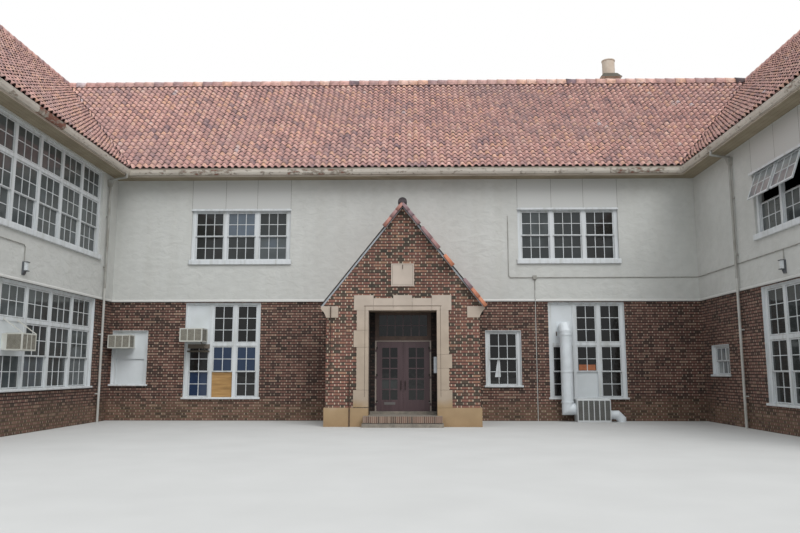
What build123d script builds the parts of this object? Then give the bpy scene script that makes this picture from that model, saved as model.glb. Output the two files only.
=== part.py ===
from build123d import *
import os
from math import cos, radians, sin, sqrt, tan
from typing import NamedTuple

# A two-storey school built round three sides of a courtyard, in millimetres.
# +X runs right along the courtyard wall, +Y into the building and +Z up.
# The origin is on the ground under the brick face of the courtyard wall, midway between the wings.

# Plan of the whole building
court_width = 19800        # between the two wings' courtyard faces
range_depth = 7920         # main range and wings, across, between brick faces
wing_length = 10300        # wings, in front of the courtyard wall

# Storeys
ground_floor_top = 405
brick_top = 3930
upper_floor_top = 4300
soffit_height = 8140

# Walls and floors
brick_wall = 340
stucco_wall = 300
stucco_proud = 25          # stucco face, in front of the brick face
drip_height = 80
drip_proud = 30            # drip moulding, in front of the stucco face
ground_slab = 180
attic_slab = 150
movement_joint = 10        # between the floor slabs of the main range and of the wings

# Roof and eaves
roof_pitch = 46.5
roof_thickness = 120
eaves_overhang = 540       # from the brick face to the back of the fascia
eaves_height = 8428        # upper side of the roof at the fascia
soffit_board = 25
fascia_board = 25
fascia_drop = 20           # fascia, below the soffit
gutter_width = 125
gutter_height = 160
gutter_sheet = 8
gutter_lift = 60           # gutter's floor, above the foot of the fascia
mitre_gap = 2              # between lengths of fascia and gutter at a corner
cap_width = 150            # ridge and hip capping, across each slope
cap_thickness = 45
cap_gap = 30               # between cappings where ridges and hips meet
vent_x = 8500
vent_y = 4700
vent_curb = 640
vent_skirt = 880           # flashing skirt round the vent, across its foot
vent_skirt_top = 560
vent_skirt_foot = 13620
vent_skirt_rise = 210
vent_radius = 255
vent_height = 640
vent_rim = 20
vent_rim_height = 40
vent_bore = 300

# Windows
reveal = 70                # from the wall face to the frame
frame_depth = 110
casing = 120
mullion = 110
head_rail = 70
transom_bar = 95
sash_stile = 45
sash_thickness = 40
sash_setback = 20
meeting_lap = 22           # each of a pair of sashes, past their meeting line
sill_height = 60
upper_sill_height = 165    # sills of the upper storey
sill_proud = 55
sill_horn = 45
glass_thickness = 6
panel_thickness = 90       # reaches behind the frame's front
board_thickness = 20
swing_angle = 20           # sashes that stand open, from upright
swing_lap = 20             # open sashes, over the rail that they hang on
swing_shorter = 62         # open sashes, than the others
hood_proud = 85
hood_rise = 40
hood_drop = 65
hood_slope = 30
hood_end = 40

# Porch
porch_projection = 2640
porch_width = 4580
porch_wall = 340
plinth_height = 550
plinth_proud = 40
gable_apex = 6640
gable_foot = 3540
gable_reach = 2450         # half the gable's width at its foot
kneeler_height = 340
kneeler_inner = 1926
porch_roof_thickness = 120
coping_thickness = 30
coping_width = 380
stone_block = 690
stone_block_foot = 4140
stone_block_proud = 30
porch_ceiling_slab = 120

# Stone surround of the doorway
doorway_width = 2040
doorway_head = 3420
surround_top = 3870
surround_narrow = 1370     # half widths over the narrow and the wide jamb stones
surround_wide = 1460
stone_joint = 6

# Steps and recess
landing_top = 318
landing_reach = 310        # landing, in front of the porch
landing_width = 2310
landing_base = 118
landing_base_proud = 30
door_setback = 840         # doors, behind the porch face
recess_wall = 115

# Entrance doors
door_opening = 1640
door_head = 2523
door_thickness = 45
door_clearance = 5
door_frame_width = 45
door_frame_depth = 110
door_transom_bar = 90
transom_frame = 75
door_stile = 170
door_top_rail = 187
door_bottom_rail = 338
hinge_radius = 8
hinge_offset = 9           # hinge pin, in front of the doors' face
hinge_sides = 12
hinge_knuckle = 75
hinge_play = 0.3
hinge_plate = 3
hinge_reach = 40
hinge_heights = (650, 1460, 2280)
pull_height = 1190
pull_length = 280
pull_standoff = 45
pull_radius = 11
pull_inset = 62            # from the meeting edge
mail_slot_height = 640
mail_slot_width = 340
mail_slot_depth = 75
fitting_thickness = 6
hall_doorway_width = 1800
hall_doorway_head = 2900

# Window coolers
cooler_height = 440
main_cooler_reach = 600    # fronts of the coolers, in front of the brick face
wing_cooler_reach = 450
far_cooler_reach = 420
cooler_gap = 20            # back of the body, in front of the brick face
cooler_neck_edge = 15      # neck, inside the opening and inside the body
grille_edge = 35
grille_bar = 24
grille_recess = 12
brace_width = 24
brace_depth = 30
hanger_top = 2940
shelf_rail_foot = 2245
shelf_rail_height = 55
shelf_rail_proud = 40
shelf_rail_lap = 20
shelf_board_foot = 2370
shelf_board_height = 140
shelf_board_depth = 40

# Cooling unit on the ground, with its ducts
unit_left = 5560
unit_width = 1070
unit_depth = 500
unit_gap = 100             # from the wall to the unit's back
unit_height = 730
unit_panels = 6
unit_edge = 28
unit_bevel = 25
duct_radius = 190
duct_x = 5315
duct_line = 300            # duct's middle, in front of the wall
duct_top = 3030
duct_foot = 400
duct_turn = 160
elbow_radius = 140
elbow_line = 400
elbow_level = 220
elbow_run = 240
pipe_sides = 16

# Downspouts
downspout_radius = 38
downspout_line = 110       # middle, in front of the brick face
downspout_clearance = 5    # between the outlet and the fascia
outlet_drop = 120
downspout_neck = 20        # bend, above the head
head_top = 7930
head_height = 210
head_width = 170
head_taper = 45
strap_height = 35
strap_edge = 5
strap_levels = (6700, 5000, 2800, 900)
left_outlet = -810         # Y of the outlets and of the pipes on the walls
left_pipe = -870
right_outlet = -2990
right_pipe = -3070

# Wall lamps
lamp_left = -5735          # Y of the lamps' middles
lamp_right = -5690
lamp_foot = 4200
lamp_height = 250
lamp_width = 140
lamp_depth = 60
lamp_reach = 140
lamp_lid = 20
lamp_tail = 100
lamp_tail_depth = 20
lens_radius = 68

# Conduits
conduit_radius = 12
conduit_line = 18          # middle, in front of the wall
conduit_bend = 60
conduit_strap = 34
conduit_box = 130
conduit_box_depth = 60
conduit_level = 4735       # along the courtyard wall and the right wing
left_conduit_level = 4900
conduit_end = 9800         # last boxes on the wings, in front of the courtyard wall
riser_x = 3530
riser_top = 6850
drop_x = 4400

court_half = court_width / 2
half_depth = range_depth / 2
outer_half = court_half + range_depth
pitch_rise = tan(radians(roof_pitch))
roof_drop = roof_thickness / cos(radians(roof_pitch))
ridge_height = eaves_height + (eaves_overhang + half_depth) * pitch_rise
UP = Vector(0, 0, 1)


class Run(NamedTuple):
    """A straight outside face: its plane, its two ends, and 1 or -1 for an outside or inside corner."""
    face: Plane
    start: float
    end: float
    start_turn: int
    end_turn: int


def face_run(x, y, along, start, end, start_turn, end_turn):
    """A run whose face passes through x, y; along it, the outside is on the right of the walker."""
    direction = Vector(*along)
    face = Plane(origin=(x, y, 0), x_dir=direction, z_dir=direction.cross(UP))
    return Run(face, start, end, start_turn, end_turn)


wing_middle = court_half + half_depth
front = face_run(0, 0, (1, 0, 0), -court_half, court_half, -1, -1)
back = face_run(0, range_depth, (-1, 0, 0), -outer_half, outer_half, 1, 1)
left_inner = face_run(-court_half, 0, (0, 1, 0), -wing_length, 0, 1, -1)
right_inner = face_run(court_half, 0, (0, -1, 0), 0, wing_length, -1, 1)
left_outer = face_run(-outer_half, 0, (0, -1, 0), -range_depth, wing_length, 1, 1)
right_outer = face_run(outer_half, 0, (0, 1, 0), -wing_length, range_depth, 1, 1)
left_end = face_run(-wing_middle, -wing_length, (1, 0, 0), -half_depth, half_depth, 1, 1)
right_end = face_run(wing_middle, -wing_length, (1, 0, 0), -half_depth, half_depth, 1, 1)
all_runs = (front, back, left_inner, right_inner, left_outer, right_outer, left_end, right_end)


def run_solid(run, profile, joint=0.0):
    """A profile of depth behind the face and height, drawn along a run and mitred at both ends."""
    inward = run.face.z_dir * -1
    reach = range_depth
    first = run.face.origin + run.face.x_dir * (run.start - reach)
    with BuildPart() as solid:
        with BuildSketch(Plane(origin=first, x_dir=inward, z_dir=run.face.x_dir)):
            add(profile.sketch_local)
        extrude(amount=run.end - run.start + 2 * reach)
        start_corner = run.face.origin + run.face.x_dir * (run.start + joint / 2)
        start_normal = run.face.x_dir - inward * run.start_turn
        split(bisect_by=Plane(origin=start_corner, z_dir=start_normal), keep=Keep.TOP)
        end_corner = run.face.origin + run.face.x_dir * (run.end - joint / 2)
        end_normal = run.face.x_dir * -1 - inward * run.end_turn
        split(bisect_by=Plane(origin=end_corner, z_dir=end_normal), keep=Keep.TOP)
    return solid.part


def depth_plane(run, x):
    """A plane across a run, whose x is the depth behind the brick face and whose y is the height."""
    return Plane(origin=run.face.origin + run.face.x_dir * x, x_dir=run.face.z_dir * -1, z_dir=run.face.x_dir)


def roof_top(depth):
    """Height of the roof's upper side at a depth behind the brick face."""
    return ridge_height - (half_depth - depth) * pitch_rise


class Bank(NamedTuple):
    """A row of windows in one frame, seen from outside, with a panel above it up to panel_top.

    A place is a column and 0 for the transom, 1 for the upper or 2 for the lower sash.
    """
    left: float
    width: float
    sill: float
    head: float
    columns: int
    transom_rows: int
    sash_rows: int
    panel_top: float
    boarded: tuple = ()
    open: tuple = ()


class Light(NamedTuple):
    """One place of a bank: its middle, its size, and whether it slides behind the sash above."""
    place: tuple
    x: float
    z: float
    width: float
    height: float
    rear: bool


def sill_rise(bank):
    """Height of a bank's sill, which is stouter in the upper storey."""
    return upper_sill_height if bank.sill > brick_top else sill_height


def column_width(bank):
    return (bank.width - 2 * casing - (bank.columns - 1) * mullion) / bank.columns


def openings(bank):
    """The openings that a bank's frame leaves: column, whether a transom, middle x and z, width, height."""
    width = column_width(bank)
    foot = bank.sill + sill_rise(bank)
    top = bank.head - head_rail
    rows = 2 * bank.sash_rows + bank.transom_rows
    bar = transom_bar if bank.transom_rows else 0
    transom_height = (top - foot - bar) * bank.transom_rows / rows
    sash_top = top - transom_height - bar
    for column in range(bank.columns):
        x = bank.left + casing + width / 2 + column * (width + mullion)
        yield column, False, x, (foot + sash_top) / 2, width, sash_top - foot
        if bank.transom_rows:
            yield column, True, x, top - transom_height / 2, width, transom_height


def all_lights(bank):
    """The places of a bank: a pair in each tall opening, one in each transom opening."""
    for column, transom, x, z, width, height in openings(bank):
        if transom:
            yield Light((column, 0), x, z, width, height, False)
        else:
            sash = height / 2 + meeting_lap
            yield Light((column, 1), x, z + (height - sash) / 2, width, sash, False)
            yield Light((column, 2), x, z - (height - sash) / 2, width, sash, True)


def light_at(bank, place):
    return [light for light in all_lights(bank) if light.place == place][0]


def lights(bank):
    """The places that hold a closed sash."""
    return [light for light in all_lights(bank) if light.place not in bank.boarded + bank.open]


def cut_banks(run, banks):
    """Cuts the banks of a storey through the wall that is being built."""
    with BuildSketch(run.face.offset(stucco_proud + drip_proud)) as holes:
        for bank in banks:
            top = max(bank.head, bank.panel_top)
            with Locations((bank.left + bank.width / 2, (bank.sill + top) / 2)):
                Rectangle(bank.width, top - bank.sill)
    extrude(holes.sketch, amount=-(brick_wall + stucco_proud + drip_proud), mode=Mode.SUBTRACT)


def frame_solids(run, proud, banks, with_sashes):
    """Frames, sashes, sills and panels of one storey of a run."""
    wall_face = run.face.offset(proud)
    frame_face = wall_face.offset(-reveal)
    with BuildPart() as frames:
        with BuildSketch(frame_face):
            for bank in banks:
                with Locations((bank.left + bank.width / 2, (bank.sill + bank.head) / 2)):
                    Rectangle(bank.width, bank.head - bank.sill)
                for _, _, x, z, width, height in openings(bank):
                    with Locations((x, z)):
                        Rectangle(width, height, mode=Mode.SUBTRACT)
        extrude(amount=-frame_depth)
        for rear in (False, True) if with_sashes else ():
            setback = sash_setback + sash_thickness * rear
            with BuildSketch(frame_face.offset(-setback)):
                for light in (light for bank in banks for light in lights(bank) if light.rear == rear):
                    with Locations((light.x, light.z)):
                        Rectangle(light.width, light.height)
                        Rectangle(
                            light.width - 2 * sash_stile,
                            light.height - 2 * sash_stile,
                            mode=Mode.SUBTRACT,
                        )
            extrude(amount=-sash_thickness)
        with BuildSketch(wall_face.offset(sill_proud)):
            for bank in banks:
                with Locations((bank.left + bank.width / 2, bank.sill + sill_rise(bank) / 2)):
                    Rectangle(bank.width + 2 * sill_horn, sill_rise(bank))
        extrude(amount=-sill_proud)
        with BuildSketch(wall_face):
            for bank in banks:
                with Locations((bank.left + bank.width / 2, bank.sill + sill_rise(bank) / 2)):
                    Rectangle(bank.width, sill_rise(bank))
        extrude(amount=-reveal)
        panelled = [bank for bank in banks if bank.panel_top]
        if panelled:
            with BuildSketch(wall_face):
                for bank in panelled:
                    with Locations((bank.left + bank.width / 2, (bank.head + bank.panel_top) / 2)):
                        Rectangle(bank.width, bank.panel_top - bank.head)
            extrude(amount=-panel_thickness)
    return frames.part


def glass_sheets(run, proud, banks):
    """One sheet of glass behind the frame of each bank."""
    with BuildPart() as sheets:
        with BuildSketch(run.face.offset(proud - reveal - frame_depth)):
            for bank in banks:
                with Locations((bank.left + bank.width / 2, (bank.sill + bank.head) / 2)):
                    Rectangle(bank.width, bank.head - bank.sill)
        extrude(amount=-glass_thickness)
    return sheets.part


def boards(run, proud, bank, places):
    """Boards in some places of a bank, where their sashes would be."""
    with BuildPart() as sheets:
        for light in all_lights(bank):
            if light.place in places:
                setback = reveal + sash_setback + sash_thickness * light.rear
                with BuildSketch(run.face.offset(proud - setback)):
                    with Locations((light.x, light.z)):
                        Rectangle(light.width, light.height)
                extrude(amount=-board_thickness)
    return sheets.part


# Banks of windows, their left edges measured along each run
triple_upper = Bank(0, 3400, 5200, 7100, 3, 0, 2, soffit_height)
triple_lower = Bank(0, 2530, 700, 3895, 3, 3, 2, 0)


def spaced(run, bank, count):
    """The same bank in the middle of each of several equal bays."""
    bay = (run.end - run.start) / count
    return [bank._replace(left=run.start + bay * (i + 0.5) - bank.width / 2) for i in range(count)]


front_lower_left = [
    Bank(-9800, 1200, 1130, 2970, 1, 0, 2, 0, ((0, 1), (0, 2))),
    triple_lower._replace(left=-7350, boarded=((0, 0), (1, 2))),
]
front_lower_right = [
    Bank(2710, 1190, 1090, 2960, 1, 0, 2, 0),
    triple_lower._replace(left=4820, boarded=((0, 0), (1, 2))),
]
front_upper = [triple_upper._replace(left=-7270), triple_upper._replace(left=3870)]
left_lower = [Bank(-9200, 7910, 1100, 3915, 6, 2, 2, 0, ((2, 1),))]
left_upper = [Bank(-8980, 7770, 5200, 8100, 6, 2, 2, 0)]
right_lower = [
    Bank(690, 1290, 1450, 2430, 1, 0, 1, 0),
    Bank(4280, 5155, 700, 3895, 5, 3, 2, 0),
]
right_upper = [Bank(4250, 5230, 5210, 7130, 4, 0, 2, soffit_height, (), ((0, 1), (1, 1)))]
outer_bays = 3
back_bays = 5

# Profiles of the walls, roof and eaves: depth behind the brick face, and height
with BuildSketch() as brick_profile:
    with Locations((brick_wall / 2, brick_top / 2)):
        Rectangle(brick_wall, brick_top)

stucco_face = -stucco_proud
stucco_back = stucco_wall - stucco_proud
with BuildSketch() as stucco_profile:
    with BuildLine():
        Polyline(
            (stucco_face - drip_proud, brick_top),
            (stucco_back, brick_top),
            (stucco_back, roof_top(stucco_back) - roof_drop),
            (stucco_face, roof_top(stucco_face) - roof_drop),
            (stucco_face, brick_top + drip_height),
            (stucco_face - drip_proud, brick_top + drip_height / 2),
            close=True,
        )
    make_face()

with BuildSketch() as slope_profile:
    with BuildLine():
        Polyline(
            (-eaves_overhang, roof_top(-eaves_overhang)),
            (half_depth, ridge_height),
            (half_depth, ridge_height - roof_drop),
            (-eaves_overhang, roof_top(-eaves_overhang) - roof_drop),
            close=True,
        )
    make_face()

fascia_foot = soffit_height - fascia_drop
fascia_back = -eaves_overhang
fascia_front = fascia_back - fascia_board
with BuildSketch() as eaves_profile:
    with BuildLine():
        Polyline(
            (stucco_face, soffit_height),
            (stucco_face, soffit_height + soffit_board),
            (fascia_back, soffit_height + soffit_board),
            (fascia_back, eaves_height),
            (fascia_front, eaves_height),
            (fascia_front, fascia_foot),
            (fascia_back, fascia_foot),
            (fascia_back, soffit_height),
            close=True,
        )
    make_face()

gutter_foot = fascia_foot + gutter_lift
gutter_lip = gutter_foot + gutter_height
with BuildSketch() as gutter_profile:
    with BuildLine():
        Polyline(
            (fascia_front, gutter_lip),
            (fascia_front, gutter_foot),
            (fascia_front - gutter_width * 0.55, gutter_foot),
            (fascia_front - gutter_width * 0.86, gutter_foot + gutter_height * 0.42),
            (fascia_front - gutter_width, gutter_lip),
            (fascia_front - gutter_width + gutter_sheet, gutter_lip),
            (fascia_front - gutter_width * 0.86 + gutter_sheet, gutter_foot + gutter_height * 0.42),
            (fascia_front - gutter_width * 0.55, gutter_foot + gutter_sheet),
            (fascia_front - gutter_sheet, gutter_foot + gutter_sheet),
            (fascia_front - gutter_sheet, gutter_lip),
            close=True,
        )
    make_face()

# Brick walls of the ground storey
brick_walls_front = run_solid(front, brick_profile)
with BuildPart() as front_walls_lower:
    add(brick_walls_front)
    cut_banks(front, front_lower_left + front_lower_right)
    with BuildSketch(front.face):
        with Locations((0, brick_top / 2)):
            Rectangle(hall_doorway_width, brick_top)
    extrude(amount=-brick_wall, mode=Mode.SUBTRACT)

with BuildPart() as front_wall_over_hall_door:
    with BuildSketch(front.face):
        with Locations((0, (hall_doorway_head + brick_top) / 2)):
            Rectangle(hall_doorway_width, brick_top - hall_doorway_head)
    extrude(amount=-brick_wall)

with BuildPart() as left_wing_wall_lower:
    add(run_solid(left_inner, brick_profile))
    cut_banks(left_inner, left_lower)

with BuildPart() as right_wing_wall_lower:
    add(run_solid(right_inner, brick_profile))
    cut_banks(right_inner, right_lower)

with BuildPart() as wing_end_walls_lower:
    for run in (left_end, right_end):
        add(run_solid(run, brick_profile))
        cut_banks(run, spaced(run, triple_lower, 1))

with BuildPart() as outer_walls_lower:
    for run in (left_outer, right_outer):
        add(run_solid(run, brick_profile))
        cut_banks(run, spaced(run, triple_lower, outer_bays))

with BuildPart() as back_wall_lower:
    add(run_solid(back, brick_profile))
    cut_banks(back, spaced(back, triple_lower, back_bays))

# Stucco walls of the upper storey, cut to the underside of the roof
with BuildPart() as front_wall_upper:
    add(run_solid(front, stucco_profile))
    cut_banks(front, front_upper)
    with BuildSketch(front.face.offset(stucco_proud)):
        with Locations((0, brick_top + drip_height / 2)):
            Rectangle(2 * gable_reach, drip_height)
    extrude(amount=drip_proud, mode=Mode.SUBTRACT)

with BuildPart() as left_wing_wall_upper:
    add(run_solid(left_inner, stucco_profile))
    cut_banks(left_inner, left_upper)

with BuildPart() as right_wing_wall_upper:
    add(run_solid(right_inner, stucco_profile))
    cut_banks(right_inner, right_upper)

with BuildPart() as wing_end_walls_upper:
    for run in (left_end, right_end):
        add(run_solid(run, stucco_profile))
        cut_banks(run, spaced(run, triple_upper, 1))

with BuildPart() as outer_walls_upper:
    for run in (left_outer, right_outer):
        add(run_solid(run, stucco_profile))
        cut_banks(run, spaced(run, triple_upper, outer_bays))

with BuildPart() as back_wall_upper:
    add(run_solid(back, stucco_profile))
    cut_banks(back, spaced(back, triple_upper, back_bays))


def floor_slabs(inset, bottom, top):
    """A floor in three slabs, set inside the walls: the main range and two wings."""
    with BuildPart() as slabs:
        with BuildSketch(Plane.XY.offset(bottom)):
            with Locations((0, half_depth)):
                Rectangle(2 * (outer_half - inset), range_depth - 2 * inset)
            wing_slab = wing_length - movement_joint
            with Locations(
                (-wing_middle, inset - movement_joint - wing_slab / 2),
                (wing_middle, inset - movement_joint - wing_slab / 2),
            ):
                Rectangle(range_depth - 2 * inset, wing_slab)
        extrude(amount=top - bottom)
    return slabs.part


with BuildPart() as ground_floor:
    add(floor_slabs(brick_wall, ground_floor_top - ground_slab, ground_floor_top))

with BuildPart() as upper_floor:
    add(floor_slabs(stucco_back, brick_top, upper_floor_top))

with BuildPart() as attic_floor:
    add(floor_slabs(stucco_back, soffit_height, soffit_height + attic_slab))

# Roof slopes, of one pitch, meeting at hips, valleys and ridges
with BuildPart() as roof_front:
    add(run_solid(front, slope_profile))

with BuildPart() as roof_back:
    add(run_solid(back, slope_profile))

with BuildPart() as roof_wing_inner:
    for run in (left_inner, right_inner):
        add(run_solid(run, slope_profile))

with BuildPart() as roof_wing_outer:
    for run in (left_outer, right_outer):
        add(run_solid(run, slope_profile))

with BuildPart() as roof_wing_ends:
    for run in (left_end, right_end):
        add(run_solid(run, slope_profile))

# Cappings of the three ridges and six hips, which follow the slopes on both sides
cap_end = cap_width + cap_gap


def roof_cap(start, end, fall):
    """A capping along a line of the roof that falls away on both sides of it."""
    line = end - start
    level = Vector(line.X, line.Y, 0).normalized()
    with BuildPart() as cap:
        with BuildSketch(Plane(origin=start, x_dir=UP.cross(level), z_dir=level)):
            with BuildLine():
                Polyline(
                    (0, 0),
                    (cap_width, -cap_width * fall),
                    (cap_width, cap_thickness - cap_width * fall),
                    (0, cap_thickness),
                    (-cap_width, cap_thickness - cap_width * fall),
                    (-cap_width, -cap_width * fall),
                    close=True,
                )
            make_face()
        extrude(amount=line.length, dir=line.normalized())
    return cap.part


def hip_caps(x, y, turns):
    """Cappings of the hips that run from an end of a ridge to corners of the eaves."""
    low = half_depth + eaves_overhang - cap_width / sqrt(2)
    for turn_x, turn_y in turns:
        ends = [Vector(x + turn_x * reach, y + turn_y * reach, ridge_height - reach * pitch_rise)
                for reach in (cap_end, low)]
        add(roof_cap(*ends, pitch_rise / sqrt(2)))


with BuildPart() as ridge_caps:
    add(roof_cap(
        Vector(-wing_middle + cap_end, half_depth, ridge_height),
        Vector(wing_middle - cap_end, half_depth, ridge_height),
        pitch_rise,
    ))
    for side in (-1, 1):
        ridge_front = half_depth - wing_length
        add(roof_cap(
            Vector(side * wing_middle, ridge_front + cap_end, ridge_height),
            Vector(side * wing_middle, half_depth - cap_end, ridge_height),
            pitch_rise,
        ))
        hip_caps(side * wing_middle, ridge_front, ((-1, -1), (1, -1)))
        hip_caps(side * wing_middle, half_depth, ((side, 1),))

# Round vent behind the ridge, in a square skirt on a curb that follows the back slope
with BuildPart() as roof_vent:
    with BuildSketch(Plane.YZ.offset(vent_x - vent_curb / 2)):
        near = vent_y - vent_curb / 2
        far = vent_y + vent_curb / 2
        with BuildLine():
            Polyline(
                (near, roof_top(2 * half_depth - near)),
                (far, roof_top(2 * half_depth - far)),
                (far, vent_skirt_foot),
                (near, vent_skirt_foot),
                close=True,
            )
        make_face()
    extrude(amount=vent_curb)
    for height, width in ((0, vent_skirt), (vent_skirt_rise, vent_skirt_top)):
        with BuildSketch(Plane.XY.offset(vent_skirt_foot + height)):
            with Locations((vent_x, vent_y)):
                Rectangle(width, width)
    loft()
    stack_foot = vent_skirt_foot + vent_skirt_rise
    for radius, foot in ((vent_radius, 0), (vent_radius + vent_rim, vent_height - vent_rim_height)):
        with BuildSketch(Plane.XY.offset(stack_foot + foot)):
            with Locations((vent_x, vent_y)):
                Circle(radius)
        extrude(amount=vent_height - foot)
    with BuildSketch(Plane.XY.offset(stack_foot + vent_height)):
        with Locations((vent_x, vent_y)):
            Circle(vent_radius - vent_rim)
    extrude(amount=-vent_bore, mode=Mode.SUBTRACT)

# Boxed eaves and gutters, in mitred lengths
with BuildPart() as eaves_boards:
    for run in all_runs:
        add(run_solid(run, eaves_profile, mitre_gap))

with BuildPart() as gutters:
    for run in all_runs:
        add(run_solid(run, gutter_profile, mitre_gap))

# Window frames and glass
with BuildPart() as windows_front:
    add(frame_solids(front, 0, front_lower_left + front_lower_right, True))
    add(frame_solids(front, stucco_proud, front_upper, True))

with BuildPart() as windows_wings:
    add(frame_solids(left_inner, 0, left_lower, True))
    add(frame_solids(left_inner, stucco_proud, left_upper, True))
    add(frame_solids(right_inner, 0, right_lower, True))
    add(frame_solids(right_inner, stucco_proud, right_upper, True))
    hood_bank = right_upper[0]
    with BuildSketch(depth_plane(right_inner, hood_bank.left - hood_end)):
        with BuildLine():
            Polyline(
                (stucco_face, hood_bank.head - hood_rise),
                (stucco_face, hood_bank.head + hood_rise),
                (stucco_face - hood_proud, hood_bank.head + hood_rise - hood_slope),
                (stucco_face - hood_proud, hood_bank.head - hood_drop),
                close=True,
            )
        make_face()
    extrude(amount=hood_bank.width + 2 * hood_end)

outside_runs = ((left_end, 1), (right_end, 1), (left_outer, outer_bays), (right_outer, outer_bays),
                (back, back_bays))
with BuildPart() as windows_outside:
    for run, bays in outside_runs:
        add(frame_solids(run, 0, spaced(run, triple_lower, bays), False))
        add(frame_solids(run, stucco_proud, spaced(run, triple_upper, bays), False))


def swung_plane(light, outward):
    """The plane of an open sash of the right wing: hung by its top edge, its foot outward."""
    hinge = right_inner.face.origin + right_inner.face.x_dir * light.x
    hinge += right_inner.face.z_dir * (stucco_proud - reveal) + UP * (light.z + light.height / 2 + swing_lap)
    swing = radians(swing_angle)
    normal = right_inner.face.z_dir * cos(swing) + UP * sin(swing)
    return Plane(origin=hinge, x_dir=right_inner.face.x_dir, z_dir=normal).offset(outward)


open_lights = [light for bank in right_upper for light in all_lights(bank) if light.place in bank.open]
with BuildPart() as open_sashes:
    for light in open_lights:
        sash_height = light.height - swing_shorter
        with BuildSketch(swung_plane(light, 0)):
            with Locations((0, -sash_height / 2)):
                Rectangle(light.width, sash_height)
                Rectangle(light.width - 2 * sash_stile, sash_height - 2 * sash_stile, mode=Mode.SUBTRACT)
        extrude(amount=sash_thickness)

with BuildPart() as window_glass:
    add(glass_sheets(front, 0, front_lower_left + front_lower_right))
    add(glass_sheets(front, stucco_proud, front_upper))
    add(glass_sheets(left_inner, 0, left_lower))
    add(glass_sheets(left_inner, stucco_proud, left_upper))
    add(glass_sheets(right_inner, 0, right_lower))
    add(glass_sheets(right_inner, stucco_proud, right_upper))
    with BuildSketch(right_inner.face.offset(stucco_proud - reveal - frame_depth)):
        for light in open_lights:
            with Locations((light.x, light.z + meeting_lap)):
                Rectangle(light.width, light.height - 2 * meeting_lap)
    extrude(amount=-glass_thickness, mode=Mode.SUBTRACT)
    for light in open_lights:
        sash_height = light.height - swing_shorter
        with BuildSketch(swung_plane(light, (sash_thickness - glass_thickness) / 2)):
            with Locations((0, -sash_height / 2)):
                Rectangle(light.width - 2 * sash_stile, sash_height - 2 * sash_stile)
        extrude(amount=glass_thickness)
    for run, bays in outside_runs:
        add(glass_sheets(run, 0, spaced(run, triple_lower, bays)))
        add(glass_sheets(run, stucco_proud, spaced(run, triple_upper, bays)))

# Boards in place of sashes, painted ones, and a bare one with a shelf of the same wood beside it
with BuildPart() as window_boards:
    add(boards(front, 0, front_lower_left[0], front_lower_left[0].boarded))
    add(boards(front, 0, front_lower_left[1], front_lower_left[1].boarded[:1]))
    add(boards(front, 0, front_lower_right[1], front_lower_right[1].boarded))
    add(boards(left_inner, 0, left_lower[0], left_lower[0].boarded))

shelf_light = light_at(front_lower_left[1], (0, 0))
shelf_width = shelf_light.width + 2 * shelf_rail_lap
with BuildPart() as plywood_boards:
    add(boards(front, 0, front_lower_left[1], front_lower_left[1].boarded[1:]))
    with BuildSketch(front.face.offset(-reveal)):
        with Locations((shelf_light.x, shelf_board_foot + shelf_board_height / 2)):
            Rectangle(shelf_width, shelf_board_height)
    extrude(amount=shelf_board_depth)


# Window coolers: a louvred body in front of the wall, with a neck through the window to its board
def brace(run, x, *corners):
    """A flat bar with corners of depth and height."""
    with BuildSketch(depth_plane(run, x - brace_width / 2)) as bar:
        with BuildLine():
            Polyline(*corners, close=True)
        make_face()
    extrude(bar.sketch, amount=brace_width)


def cooler(run, left, width, foot, reach, light):
    """A cooler in a place of a bank: body with three front grilles and one on each side, and neck."""
    middle = left + width / 2
    level = foot + cooler_height / 2
    depth = reach - cooler_gap
    with BuildSketch(run.face.offset(reach)) as outline:
        with Locations((middle, level)):
            Rectangle(width, cooler_height)
    extrude(outline.sketch, amount=-depth)
    panel = (width - 2 * grille_edge - 2 * grille_bar) / 3
    with BuildSketch(run.face.offset(reach)) as grilles:
        with Locations((middle, level)):
            with GridLocations(panel + grille_bar, 0, 3, 1):
                Rectangle(panel, cooler_height - 2 * grille_edge)
    extrude(grilles.sketch, amount=-grille_recess, mode=Mode.SUBTRACT)
    for x, inward in ((left, 1), (left + width, -1)):
        with BuildSketch(depth_plane(run, x)) as side_grille:
            with Locations((-(reach + cooler_gap) / 2, level)):
                Rectangle(depth - 2 * grille_edge, cooler_height - 2 * grille_edge)
        extrude(side_grille.sketch, amount=inward * grille_recess, mode=Mode.SUBTRACT)
    neck_left = max(left, light.x - light.width / 2) + cooler_neck_edge
    neck_right = min(left + width, light.x + light.width / 2) - cooler_neck_edge
    with BuildSketch(run.face.offset(cooler_gap)) as neck:
        with Locations(((neck_left + neck_right) / 2, level)):
            Rectangle(neck_right - neck_left, cooler_height - 2 * cooler_neck_edge)
    extrude(neck.sketch, amount=-(cooler_gap + reveal + sash_setback))


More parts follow.
